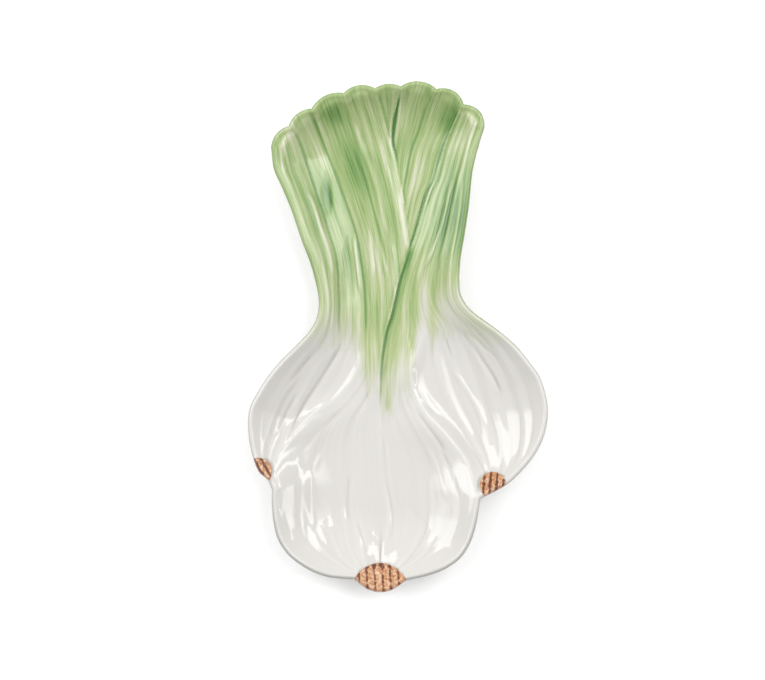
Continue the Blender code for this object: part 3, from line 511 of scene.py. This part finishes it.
def soft_rims():
    """Lines along the right side, smoothly past the leaf tips, and along the left side."""
    middles = []
    for start, end, bulge in TIPS:
        middles.append((np.array(start) + end) / 2 + outward(start, end) * bulge * TIP_SOFT)
    tips = curve([TIP_NOTCHES[0]] + middles + [TIP_NOTCHES[-1]], FINE_STEP)
    return curve(RIGHT_SIDE, FINE_STEP), tips, curve(LEFT_SIDE, FINE_STEP)


SOFT_RIMS = soft_rims()
OUTLINE = outline(FINE_STEP)
FOOT_LINE = curve(FOOT, FOOT_STEP, closed=True)


def rim_height(y):
    """Height of the lip's crest along the dish."""
    return eased(y, HEIGHT_STEPS, (BULB_RIM, BULB_RIM, NECK_RIM, BULB_RIM, TIP_RIM))


def floor_height(y):
    """Height of the inside floor along the dish."""
    neck = (BULB_FLOOR + LEAF_FLOOR) / 2
    return eased(y, HEIGHT_STEPS, (BULB_FLOOR, BULB_FLOOR, neck, LEAF_FLOOR, LEAF_FLOOR))


def wall_run(y):
    """How far the wall reaches inwards along the dish."""
    return eased(y, HEIGHT_STEPS, (BULB_WALL_RUN, BULB_WALL_RUN, NECK_WALL_RUN, TIP_WALL_RUN, TIP_WALL_RUN))


def steepness(y, depth):
    """1 at the lip, falling to 0 where the wall meets the floor."""
    inward = np.clip(depth - LIP, 0.0, None)
    power = eased(y, HEIGHT_STEPS[1:4], (WALL_POWER, WALL_POWER, LEAF_WALL_POWER))
    return np.clip(1.0 - inward / wall_run(y), 0.0, 1.0) ** power


def wall_depth(points, depth):
    """Depth that the inner wall is shaped by: it forgets the scallops a little way in from the lip."""
    soft = depth.copy()
    near = points[:, 1] > TIP_ZONE
    total = sum(np.exp(-distance(points[near], line) / RIM_MERGE) for line in SOFT_RIMS)
    soft[near] = -RIM_MERGE * np.log(total)
    return depth + (soft - depth) * smooth((depth - LIP) / TIP_BLEND)


def strip(x, y, left, right):
    """Place across a strip, 0 at its left edge and 1 at its right, and the gap to its nearer edge."""
    a, b = edge_at(left, y), edge_at(right, y)
    return (x - a) / np.maximum(b - a, NARROWEST), np.minimum(x - a, b - x)


def within(gap):
    """1 inside an edge, falling to 0 just outside it."""
    return smooth(1.0 + gap / EDGE_WIDTH)


def grain(u, v, seed):
    """Smooth random values from 0 to 1, with a new value at each whole step of u and v."""
    table = np.random.default_rng(seed).random((TABLE, TABLE))
    i, j = np.floor(u).astype(int), np.floor(v).astype(int)
    s, t = smooth(u - i), smooth(v - j)
    low = table[i % TABLE, j % TABLE] * (1.0 - s) + table[(i + 1) % TABLE, j % TABLE] * s
    high = table[i % TABLE, (j + 1) % TABLE] * (1.0 - s) + table[(i + 1) % TABLE, (j + 1) % TABLE] * s
    return low * (1.0 - t) + high * t


def veins(u, y, seed, cells, depth):
    """Fine ribs along the strokes, about depth high, in two widths."""
    wide, narrow, length = cells
    coarse = grain(u / wide, y / length, seed) - 0.5
    fine = grain(u / narrow, y / length, seed + 1) - 0.5
    return 2.0 * depth * (coarse + NARROW_SHARE * fine)


def leaf(x, y, number, left, right, edge, crown, pleats, depth, span):
    """Cover, height and place across the strokes of a leaf with round shoulders and ribs."""
    across, gap = strip(x, y, left, right)
    across = np.clip(across, 0.0, 1.0)
    u = across * span + LEAF_STROKES * number
    body = edge + crown * (1.0 - np.abs(2.0 * across - 1.0) ** SHOULDER)
    body = body + depth * np.cos(2.0 * math.pi * pleats * across)
    return within(gap), body + veins(u, y, LEAF_SEEDS * number, LEAF_VEINS, LEAF_VEIN_DEPTH), u


def hollow(x, y, edges):
    """Cover of a hollow between leaves, which narrows to a point at its upper end."""
    gap = strip(x, y, *edges)[1]
    low, high = edges[0][-1][1], edges[0][0][1]
    fade_low, fade_high = HOLLOW_FADES
    return smooth(gap / POCKET_SOFT + 0.5) * smooth((y - low) / fade_low) * smooth((high - y) / fade_high)


def leaves(x, y):
    """Height of the overlapping leaves above the trough's floor, and the place across the strokes."""
    z, u = np.full(len(x), POCKET), x + POCKET_STROKES
    for number, entry in enumerate(LEAVES + FRONT_LEAVES):
        if number == len(LEAVES):
            for edges in (UPPER_POCKET, LOWER_POCKET):
                z = z + (POCKET - z) * hollow(x, y, edges) * POCKET_SHARE
        cover, body, place = leaf(x, y, number, *entry)
        if entry[0] is VALLEY:
            body = body + KEEL_HEIGHT * np.exp(-((x - edge_at(KEEL, y)) / KEEL_WIDTH) ** 2)
        z = z + (body - z) * cover
        u = np.where(cover > 0.5, place, u)
    return z, u


def flutes(x, y, flow, count, depth, span):
    """Flutes and fine ribs that run from a bulb's neck to its root, and the place across them."""
    across = np.clip(strip(x, y, *flow)[0], 0.0, 1.0)
    depth = depth * smooth((edge_at(flow[1], y) - edge_at(flow[0], y)) / FLUTE_NARROW)
    times, share, shift = FINE_FLUTES
    wave = np.cos(2 * math.pi * count * across)
    wave = wave + share * np.cos(2 * math.pi * (times * count * across + shift))
    u = across * span + BULB_STROKES + FLUTE_STROKES * span
    z = depth * wave + veins(u, y, int(span), BULB_VEINS, BULB_VEIN_DEPTH)
    return z * smooth(across * FLUTE_FADE) * smooth((1.0 - across) * FLUTE_FADE), u


def bulbs(x, y):
    """Height of the three bulbs' flutes, each on its own side of the ridges, and the place across them."""
    left = smooth(0.5 + (edge_at(LEFT_RIDGE, y) - x) / RIDGE_BLEND)
    right = smooth(0.5 + (x - edge_at(RIGHT_RIDGE, y)) / RIDGE_BLEND)
    z, u = flutes(x, y, *CENTRE_FLUTES)
    for side, entry in ((left, LEFT_FLUTES), (right, RIGHT_FLUTES)):
        body, place = flutes(x, y, *entry)
        z = z + (body - z) * side
        u = np.where(side > 0.5, place, u)
    return z, u


def ridges(points):
    """Ridges of the centre bulb's wall: steep outside, gently sloped inside."""
    x, y = points.T
    tall = RIDGE_HEIGHT * eased(y, RIDGE_STEPS, RIDGE_SHARES)
    z = np.zeros(len(x))
    for line, side in ((LEFT_RIDGE, 1.0), (RIGHT_RIDGE, -1.0)):
        gap = distance(points, curve(line, FINE_STEP))
        inside = side * (x - edge_at(line, y)) > 0.0
        width = np.where(inside, RIDGE_INSIDE, RIDGE_OUTSIDE)
        z = np.maximum(z, tall * np.exp(-(gap / width) ** RIDGE_POWER))
    return z


def creases(points):
    """Height of the single creases and folds, which fade out at both ends."""
    z = np.zeros(len(points))
    for path, height, width in CREASES:
        line = curve(path, CREASE_STEP)
        reach = CREASE_REACH * width
        near = ((points > line.min(axis=0) - reach) & (points < line.max(axis=0) + reach)).all(axis=1)
        if not near.any():
            continue
        spots = points[near]
        ends = np.minimum(np.linalg.norm(spots - line[0], axis=1), np.linalg.norm(spots - line[-1], axis=1))
        fade = smooth(ends / CREASE_FADE)
        z[near] += CREASE_SHARE * height * np.exp(-(distance(spots, line) / width) ** 2) * fade
    return z


def greenness(x, y):
    """1 on the leaves, 0 on the bulbs."""
    end = np.interp(x, *zip(*GREEN_END))
    return smooth((y - end) / GREEN_FADE + 0.5)


def root_cover(points, root):
    """1 on a root plate, falling to 0 just outside it."""
    centre, radius = root[:2]
    return smooth(0.5 + (radius - np.linalg.norm(points - np.array(centre), axis=1)) / ROOT_EDGE)


def root_groove(points, root):
    """1 in the middle of a root plate's carved grooves, 0 between them."""
    centre, _, turn, spacing = root
    turn = math.radians(turn)
    across = (points - np.array(centre)) @ np.array([math.cos(turn), math.sin(turn)])
    return np.sin(math.pi * across / spacing) ** GROOVE_POWER


def top(points, depth):
    """Height of the glazed face from the lip inwards, and the place across its strokes."""
    x, y = points.T
    rim, ground = rim_height(y), floor_height(y)
    share = steepness(y, wall_depth(points, depth))
    z = ground + (rim - ground) * share
    lip = np.clip(depth, 0.0, LIP)
    z = z - LIP + np.sqrt(LIP ** 2 - (LIP - lip) ** 2)
    green = greenness(x, y)
    (leaf_z, leaf_u), (bulb_z, bulb_u) = leaves(x, y), bulbs(x, y)
    relief = green * leaf_z + (1.0 - green) * bulb_z + ridges(points) * (1.0 - share) + creases(points)
    z = z + relief * smooth((depth - LIP) / RELIEF_FADE)
    for root in ROOTS:
        body = ROOT_STAND - ROOT_GROOVE * root_groove(points, root)
        z = z + root_cover(points, root) * body * smooth(depth / LIP)
    return z, np.where(green > STROKE_SHARE, leaf_u, bulb_u)


def underside(points, depth):
    """Height of the back, with the foot ring's flat sole at zero."""
    y = points[:, 1]
    low = floor_height(y) - WALL
    lip = np.clip(depth, 0.0, LIP)
    z = low + (rim_height(y) - 2.0 * LIP - low) * steepness(y, depth)
    z = z + LIP - np.sqrt(LIP ** 2 - (LIP - lip) ** 2)
    return z * np.clip((distance(points, FOOT_LINE) - FOOT_HALF) / FOOT_SLANT, 0.0, 1.0), points[:, 0]


def inset(border, depth):
    """The closed border moved inwards by depth, without its repeated last point."""
    ahead = np.roll(border[:-1], -1, axis=0) - np.roll(border[:-1], 1, axis=0)
    inward = np.column_stack([-ahead[:, 1], ahead[:, 0]]) / np.linalg.norm(ahead, axis=1)[:, None]
    return border[:-1] + inward * depth


def inside_outline(points):
    """True for each point inside the closed outline."""
    x, y = points.T
    crossings = np.zeros(len(points), int)
    for (ax, ay), (bx, by) in zip(OUTLINE[:-1], OUTLINE[1:]):
        spans = (ay > y) != (by > y)
        if spans.any():
            crossings += spans & (x < ax + (y - ay) * (bx - ax) / (by - ay))
    return crossings % 2 == 1


def lattice(spacing):
    """Staggered plan points over the whole dish."""
    rows = []
    for number, y in enumerate(np.arange(-LATTICE_Y, LATTICE_Y, spacing * math.sqrt(0.75))):
        x = np.arange(-LATTICE_X, LATTICE_X, spacing) + (number % 2) * spacing / 2
        rows.append(np.column_stack([x, np.full(len(x), y)]))
    places = np.vstack(rows)
    return places[inside_outline(places)]


def top_plan(loop):
    """Plan points and joined lines of the glazed face inside the lip."""
    places = lattice(GRID)
    places = places[distance(places, OUTLINE) > LIP + LIP_CLEAR * GRID]
    lines = []
    for line, low, high, side in LEAF_STEPS:
        path = curve(line, GRID)
        path = path[(path[:, 1] > low) & (path[:, 1] < high)]
        path = path[distance(path, OUTLINE) > LIP + GRID]
        lines += [path, path + np.array([side * EDGE_WIDTH, 0.0])]
    for path in lines:
        places = places[distance(places, path) > EDGE_CLEAR * GRID]
    return np.vstack([loop] + lines + [places])


def under_plan(loop):
    """Plan points of the back inside the lip: even loops round the foot ring, then a grid."""
    side = FOOT_HALF + FOOT_SLANT
    shifts = (-side - UNDER_LOOP, -side, -FOOT_HALF, 0.0, FOOT_HALF, side, side + UNDER_LOOP)
    loops = [inset(FOOT_LINE, shift) for shift in shifts]
    rim = [inset(outline(UNDER_STEP), LIP + UNDER_LOOP)]
    places = lattice(UNDER_GRID)
    places = places[distance(places, OUTLINE) > LIP + UNDER_CLEAR]
    places = places[distance(places, FOOT_LINE) > side + UNDER_CLEAR]
    return np.vstack([loop] + rim + loops + [places])


def fill(plan, count, shape, numbers, vertices, strokes, depths):
    """Triangles over the plan points, whose first count are in the mesh already as numbers."""
    edges = [(i, (i + 1) % count) for i in range(count)]
    corners = [Vector(p) for p in plan.tolist()]
    spots, _, triangles, sources = delaunay_2d_cdt(corners, edges, [], 1, SAME_POINT)[:4]
    spots = np.array([tuple(spot) for spot in spots])
    depth = distance(spots, OUTLINE)
    heights, u = shape(spots, depth)
    numbered = np.arange(len(spots)) + len(vertices)
    shared = 0
    for i, source in enumerate(sources):
        known = [k for k in source if k < count]
        if known:
            numbered[i] = numbers[known[0]]
            shared += 1
        else:
            numbered[i] -= shared
            vertices.append((spots[i, 0], spots[i, 1], heights[i]))
            strokes.append(u[i])
            depths.append(depth[i])
    triangles = np.array([tuple(t) for t in triangles])
    a, b, c = (spots[triangles[:, k]] for k in range(3))
    turn = (b[:, 0] - a[:, 0]) * (c[:, 1] - a[:, 1]) - (b[:, 1] - a[:, 1]) * (c[:, 0] - a[:, 0])
    triangles[turn < 0] = triangles[turn < 0][:, ::-1]
    return numbered[triangles]


def dish_mesh():
    """Vertices, triangles and glazing facts of the dish: the lip's rings, then both faces."""
    border = outline(OUTLINE_STEP)
    count = len(border) - 1
    vertices, strokes, depths, rings, faces = [], [], [], [], []
    turns = [(underside, LIP * part) for part in LIP_RINGS] + [(top, 0.0)]
    turns += [(top, LIP * part) for part in LIP_RINGS[::-1]]
    for shape, depth in turns:
        ring = inset(border, depth)
        heights, u = shape(ring, np.full(count, depth))
        rings.append(len(vertices) + np.arange(count))
        vertices += [(x, y, z) for (x, y), z in zip(ring, heights)]
        strokes += list(u)
        depths += [depth] * count
    for low, high in zip(rings, rings[1:]):
        ahead_low, ahead_high = np.roll(low, -1), np.roll(high, -1)
        faces.append(np.column_stack([low, ahead_low, ahead_high]))
        faces.append(np.column_stack([low, ahead_high, high]))
    faces.append(fill(top_plan(inset(border, LIP)), count, top, rings[-1], vertices, strokes, depths))
    top_end = len(vertices)
    back = fill(under_plan(inset(border, LIP)), count, underside, rings[0], vertices, strokes, depths)
    faces.append(back[:, ::-1])
    sides = np.zeros(len(vertices))
    sides[:len(LIP_RINGS) * count] = 1.0
    sides[top_end:] = 1.0
    return np.array(vertices), np.vstack(faces), np.array(strokes), np.array(depths), sides


def hollowness(points, depth):
    """How far each point of the glazed face lies below its neighbours across the strokes, for the painted
    shade in hollows.
    """
    total = np.zeros(len(points))
    for shift in (HOLLOW_SHADE_REACH, -HOLLOW_SHADE_REACH):
        beside = points + np.array([shift, 0.0])
        total += top(beside, distance(beside, OUTLINE))[0] / 2
    return total - top(points, depth)[0]


def patches(points, spots):
    """Sum of soft oval patches."""
    total = np.zeros(len(points))
    for centre, long, wide, turn, strength in spots:
        turn = math.radians(turn)
        along = np.array([-math.sin(turn), math.cos(turn)])
        across = np.array([math.cos(turn), math.sin(turn)])
        gap = points - np.array(centre)
        total += strength * np.exp(-(gap @ along / long) ** 2 - (gap @ across / wide) ** 2)
    return total


def edge_shade_and_highlight(points):
    """Painted shade and painted highlight along the leaves' edges, partly darker and paler paint."""
    x, y = points.T
    total = np.zeros(len(points))
    for line, shift, width, strength, low, high in EDGE_SHADE_AND_HIGHLIGHT:
        fade = smooth((y - low) / EDGE_SHADE_FADE) * smooth((high - y) / EDGE_SHADE_FADE)
        total += strength * np.exp(-((x - edge_at(line, y) - shift) / width) ** 2) * fade
    return total


def add_object(name, data):
    """New object in the scene."""
    item = bpy.data.objects.new(name, data)
    bpy.context.scene.collection.objects.link(item)
    return item


def set_layer(mesh, name, values):
    """Store one number, or one triple, for each vertex."""
    values = np.asarray(values, float)
    kind = "FLOAT" if values.ndim == 1 else "FLOAT_VECTOR"
    layer = mesh.attributes.new(name, kind, "POINT")
    layer.data.foreach_set("value" if values.ndim == 1 else "vector", values.ravel())


def make_dish():
    """The glazed dish as one piece, with what its glaze depends on stored at each vertex."""
    places, faces, strokes, depths, back = dish_mesh()
    plan = places[:, :2].copy()
    low, high = places.min(axis=0), places.max(axis=0)
    box_low, box_high = np.array(CAD_BOX[0]) / MM, np.array(CAD_BOX[1]) / MM
    scale = (box_high[1] - box_low[1]) / (high[1] - low[1])
    middle = np.array([(low[0] + high[0]) / 2, (low[1] + high[1]) / 2, 0.0])
    places = (places - middle) * np.array([scale, scale, 1.0])
    places = np.clip(places, box_low + BOX_MARGIN * np.array([1, 1, 0]), box_high - BOX_MARGIN)
    mesh = bpy.data.meshes.new("dish_glazed")
    mesh.from_pydata((places * MM).tolist(), [], faces.tolist())
    mesh.shade_smooth()
    x, y = plan.T
    end = np.interp(x, *zip(*PAINT_END))
    face = back < 0.5
    # Painted shade: darker where the glazed face lies below its neighbours, partly glaze pooling there, and
    # paler on crests where the paint runs thin
    hollow_shade = np.zeros(len(plan))
    hollow_shade[face] = hollowness(plan[face], depths[face])
    hollow_shade *= smooth((depths - LIP) / RELIEF_FADE)
    # Painted brush patches, plus painted shade and highlight along the leaves' edges
    tone = patches(plan, TONE_PATCHES) + edge_shade_and_highlight(plan)
    tint = patches(plan, TINT_PATCHES)
    root = np.max([root_cover(plan, root) for root in ROOTS], axis=0)
    groove = np.max([root_cover(plan, r) * root_groove(plan, r) for r in ROOTS], axis=0)
    set_layer(mesh, "flow", np.column_stack([strokes, y, np.zeros(len(plan))]))
    set_layer(mesh, "fade", y - end)
    set_layer(mesh, "tone", tone)
    set_layer(mesh, "tint", tint)
    set_layer(mesh, "hollow_shade", hollow_shade)
    set_layer(mesh, "root", root * np.where(face, 1.0, 0.0) * smooth(ROOT_LIP + depths / LIP))
    # the last root patch paints shade along the centre plate's upper edge
    set_layer(mesh, "groove", groove + patches(plan, ROOT_BROWN_AND_SHADE_PATCHES))
    # Painted shade along the lip's outside, wider at the bottom and on the back, partly thinner glaze at
    # the edge
    reach = LIP * (RIM_SHADE_REACH + (LOW_RIM_SHADE_REACH - RIM_SHADE_REACH) * smooth((LOW_RIM_SHADE_START - y) / LOW_RIM_SHADE_FADE))
    rim = np.where(face, 1.0 - smooth(depths / reach), 1.0 - smooth(depths / (LIP * BACK_RIM_SHADE_REACH)))
    set_layer(mesh, "rim", rim)
    set_layer(mesh, "back", np.where(face, 0.0, smooth((depths - LIP) / BACK_FADE)))
    mesh.materials.append(glaze_material())
    mesh.materials.append(clay_material())
    heights = places[:, 2][faces].max(axis=1)
    mesh.polygons.foreach_set("material_index", (heights < SOLE_HEIGHT).astype(int))
    return add_object("dish_glazed", mesh)


class Tree:
    """Short calls that add and join a material's nodes."""

    def __init__(self, name):
        self.material = bpy.data.materials.new(name)
        self.material.use_nodes = True
        self.nodes = self.material.node_tree.nodes
        self.links = self.material.node_tree.links
        self.shader = self.nodes["Principled BSDF"]

    def put(self, source, socket):
        """Set a socket to a plain value or join it to an output."""
        if hasattr(source, "links"):
            self.links.new(source, socket)
        else:
            socket.default_value = source

    def layer(self, name, output="Fac"):
        """A value stored on the mesh."""
        node = self.nodes.new("ShaderNodeAttribute")
        node.attribute_name = name
        return node.outputs[output]

    def math(self, kind, *inputs, clamp=False):
        """One sum."""
        node = self.nodes.new("ShaderNodeMath")
        node.operation, node.use_clamp = kind, clamp
        for value, socket in zip(inputs, node.inputs):
            self.put(value, socket)
        return node.outputs[0]

    def spread(self, value, low, high):
        """0 below low, 1 above high, eased in between."""
        node = self.nodes.new("ShaderNodeMapRange")
        node.interpolation_type = "SMOOTHSTEP"
        self.put(value, node.inputs["Value"])
        node.inputs["From Min"].default_value = low
        node.inputs["From Max"].default_value = high
        return node.outputs["Result"]

    def swing(self, value, size):
        """A value told from its middle of a half, times size."""
        return self.math("MULTIPLY", self.math("SUBTRACT", value, 0.5), size)

    def streaks(self, across, along, shift, detail, rough):
        """Noise drawn out along the strokes: steps per millimetre across and along them."""
        mapping = self.nodes.new("ShaderNodeMapping")
        mapping.inputs["Scale"].default_value = (across, along, 1.0)
        mapping.inputs["Location"].default_value = (0.0, 0.0, shift)
        self.links.new(self.layer("flow", "Vector"), mapping.inputs["Vector"])
        noise = self.nodes.new("ShaderNodeTexNoise")
        noise.inputs["Scale"].default_value = 1.0
        noise.inputs["Detail"].default_value = detail
        noise.inputs["Roughness"].default_value = rough
        self.links.new(mapping.outputs["Vector"], noise.inputs["Vector"])
        return noise.outputs["Fac"]

    def cloud(self, size, detail):
        """Noise over the object, with lumps of about size millimetres."""
        place = self.nodes.new("ShaderNodeTexCoord")
        noise = self.nodes.new("ShaderNodeTexNoise")
        noise.inputs["Scale"].default_value = 1.0 / (size * MM)
        noise.inputs["Detail"].default_value = detail
        self.links.new(place.outputs["Object"], noise.inputs["Vector"])
        return noise.outputs["Fac"]

    def ramp(self, value, stops):
        """Colour read from a row of (place, colour) stops."""
        node = self.nodes.new("ShaderNodeValToRGB")
        elements = node.color_ramp.elements
        while len(elements) < len(stops):
            elements.new(0.5)
        for element, (place, colour) in zip(elements, stops):
            element.position, element.color = place, linear(colour)
        self.links.new(value, node.inputs["Fac"])
        return node.outputs["Color"]

    def mix(self, share, low, high):
        """One colour over another by share."""
        node = self.nodes.new("ShaderNodeMix")
        node.data_type = "RGBA"
        self.put(share, node.inputs[0])
        self.put(low, node.inputs[6])
        self.put(high, node.inputs[7])
        return node.outputs[2]

    def bump(self, height, strength=1.0, reach=1.0):
        """Small relief in the surface: a height of 1 stands for reach millimetres."""
        node = self.nodes.new("ShaderNodeBump")
        node.inputs["Strength"].default_value = strength
        node.inputs["Distance"].default_value = reach * MM
        self.links.new(height, node.inputs["Height"])
        self.links.new(node.outputs["Normal"], self.shader.inputs["Normal"])


def linear(colour):
    """Linear colour with alpha from 0 to 255 screen values."""
    parts = [c / 255 for c in colour]
    return tuple(EXPOSED * ((p + 0.055) / 1.055) ** 2.4 for p in parts) + (1.0,)


def glaze_material():
    """Clear gloss glaze over white clay, with green leaves and brown root plates painted under it, and
    painted shade and highlights.
    """
    t = Tree("painted_glaze")
    hollow_shade, fade = t.layer("hollow_shade"), t.layer("fade")
    wide = t.streaks(*WIDE_STROKES)
    fine = t.streaks(*FINE_STROKES)
    tone = t.math("ADD", t.swing(wide, WIDE_TONE), GREEN_TONE)
    tone = t.math("ADD", tone, t.swing(fine, FINE_TONE))
    tone = t.math("ADD", tone, t.layer("tone"))
    # painted shade in hollows darkens the green, partly pooled glaze
    tone = t.math("ADD", tone, t.math("MULTIPLY", hollow_shade, HOLLOW_SHADE_TONE), clamp=True)
    green = t.ramp(tone, GREENS)
    young = t.ramp(tone, YOUNG_GREENS)
    green = t.mix(t.spread(fade, 0.0, YOUNG_REACH), young, green)
    ragged = t.math("ADD", fade, t.swing(wide, WIDE_RAGGED))
    ragged = t.math("ADD", ragged, t.swing(fine, FINE_RAGGED))
    ragged = t.math("ADD", ragged, t.math("MULTIPLY", t.layer("tint"), TINT_REACH))
    cover = t.spread(ragged, -PAINT_SOFT, PAINT_SOFT)
    # painted shade in hollows greys the white
    white = t.ramp(t.math("MULTIPLY_ADD", hollow_shade, WHITE_HOLLOW_SHADE, WHITE_TONE, clamp=True), WHITES)
    colour = t.mix(cover, white, green)
    # Painted shade on the lip's outside
    rim = t.math("MULTIPLY", t.layer("rim"), RIM_SHADE_SHARE)
    colour = t.mix(rim, colour, t.mix(cover, linear(WHITE_RIM_SHADE), linear(GREEN_RIM_SHADE)))
    tan = t.ramp(t.cloud(*TAN_LUMPS), TANS)
    cut = t.swing(t.cloud(*GROOVE_LUMPS), GROOVE_RAGGED)
    groove = t.spread(t.math("ADD", t.layer("groove"), cut), *GROOVE_RANGE)
    tan = t.mix(groove, tan, linear(GROOVE_BROWN))
    edge = t.math("MULTIPLY", t.spread(t.layer("root"), *ROOT_EDGE_RANGE), ROOT_EDGE_SHARE)
    tan = t.mix(edge, tan, linear(ROOT_EDGE_BROWN))
    colour = t.mix(t.spread(t.layer("root"), *ROOT_RANGE), colour, tan)
    colour = t.mix(t.layer("back"), colour, linear(BACK_WHITE))
    t.links.new(colour, t.shader.inputs["Base Color"])
    t.shader.inputs["Roughness"].default_value = GLOSS_ROUGHNESS
    t.shader.inputs["IOR"].default_value = GLAZE_IOR
    hatch = t.math("MULTIPLY", t.math("MULTIPLY", fine, cover), HATCH_HEIGHT)
    t.bump(t.math("MULTIPLY_ADD", t.cloud(*GLAZE_LUMPS), GLAZE_WAVES, hatch))
    return t.material


def clay_material():
    """Bare fired clay of the foot ring's sole."""
    t = Tree("bare_clay")
    t.links.new(t.ramp(t.cloud(*CLAY_LUMPS), CLAYS), t.shader.inputs["Base Color"])
    t.shader.inputs["Roughness"].default_value = CLAY_ROUGHNESS
    t.bump(t.cloud(*CLAY_GRAIN), *CLAY_BUMP)
    return t.material


def floor_material():
    """Plain white board."""
    t = Tree("white_board")
    t.shader.inputs["Base Color"].default_value = (FLOOR_WHITE, FLOOR_WHITE, FLOOR_WHITE, 1.0)
    t.shader.inputs["Roughness"].default_value = FLOOR_ROUGHNESS
    t.shader.inputs["Specular IOR Level"].default_value = 0.0
    return t.material


def make_floor():
    """Wide white floor under the foot ring's sole."""
    half, z = FLOOR_HALF * MM, -FLOOR_GAP * MM
    mesh = bpy.data.meshes.new("floor")
    corners = [(-half, -half, z), (half, -half, z), (half, half, z), (-half, half, z)]
    mesh.from_pydata(corners, [], [(0, 1, 2, 3)])
    mesh.materials.append(floor_material())
    return add_object("floor", mesh)


def grade(tree, place, steps, levels, strength):
    """Light whose strength goes along Y from one level to the other between two steps."""
    split, change = tree.nodes.new("ShaderNodeSeparateXYZ"), tree.nodes.new("ShaderNodeMapRange")
    for socket, value in zip(("From Min", "From Max", "To Min", "To Max"), steps + levels):
        change.inputs[socket].default_value = value
    tree.links.new(place, split.inputs[0])
    tree.links.new(split.outputs["Y"], change.inputs["Value"])
    tree.links.new(change.outputs["Result"], strength)


def add_light(name, left, right, low, high, fading, glow):
    """Softbox in a level plane over the dish, which fades towards its lower edge."""
    light = bpy.data.lights.new(name, "AREA")
    light.shape = "RECTANGLE"
    light.size, light.size_y = (right - left) * MM, (high - low) * MM
    light.energy = glow * math.pi * light.size * light.size_y
    light.use_nodes = True
    nodes = light.node_tree.nodes
    place = nodes.new("ShaderNodeNewGeometry").outputs["Position"]
    steps = (low * MM, (low + fading) * MM)
    grade(light.node_tree, place, steps, (0.0, 1.0), nodes["Emission"].inputs["Strength"])
    lamp = add_object(name, light)
    lamp.location = Vector(((left + right) / 2, (low + high) / 2, LIGHT_HEIGHT)) * MM
    lamp.visible_camera = False


def add_world():
    """Pale surroundings, darker towards -Y."""
    world = bpy.data.worlds.new("studio")
    world.use_nodes = True
    nodes = world.node_tree.nodes
    nodes["Background"].inputs["Color"].default_value = (1.0, 1.0, 1.0, 1.0)
    place = nodes.new("ShaderNodeTexCoord").outputs["Generated"]
    levels = (WORLD_GLOW * (1.0 - WORLD_SHADE), WORLD_GLOW)
    grade(world.node_tree, place, (-1.0, 0.0), levels, nodes["Background"].inputs["Strength"])
    bpy.context.scene.world = world


def add_camera():
    """Camera straight above, framed so that the dish fills the photograph's part of the picture."""
    camera = bpy.data.cameras.new("camera")
    camera.lens, camera.sensor_width = LENS, SENSOR
    camera.clip_start, camera.clip_end = CLIP
    eye = add_object("camera", camera)
    height = FRAME_WIDTH * PIXEL * LENS / SENSOR
    eye.location = Vector((-FRAME_RIGHT * PIXEL, -FRAME_UP * PIXEL, RIM_PLANE + height)) * MM
    bpy.context.scene.camera = eye


dish = make_dish()
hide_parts("dish")
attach(dish, "root")
make_floor()
for entry in LIGHTS:
    add_light(*entry)
add_world()
add_camera()
bpy.context.scene.view_settings.view_transform = "Standard"
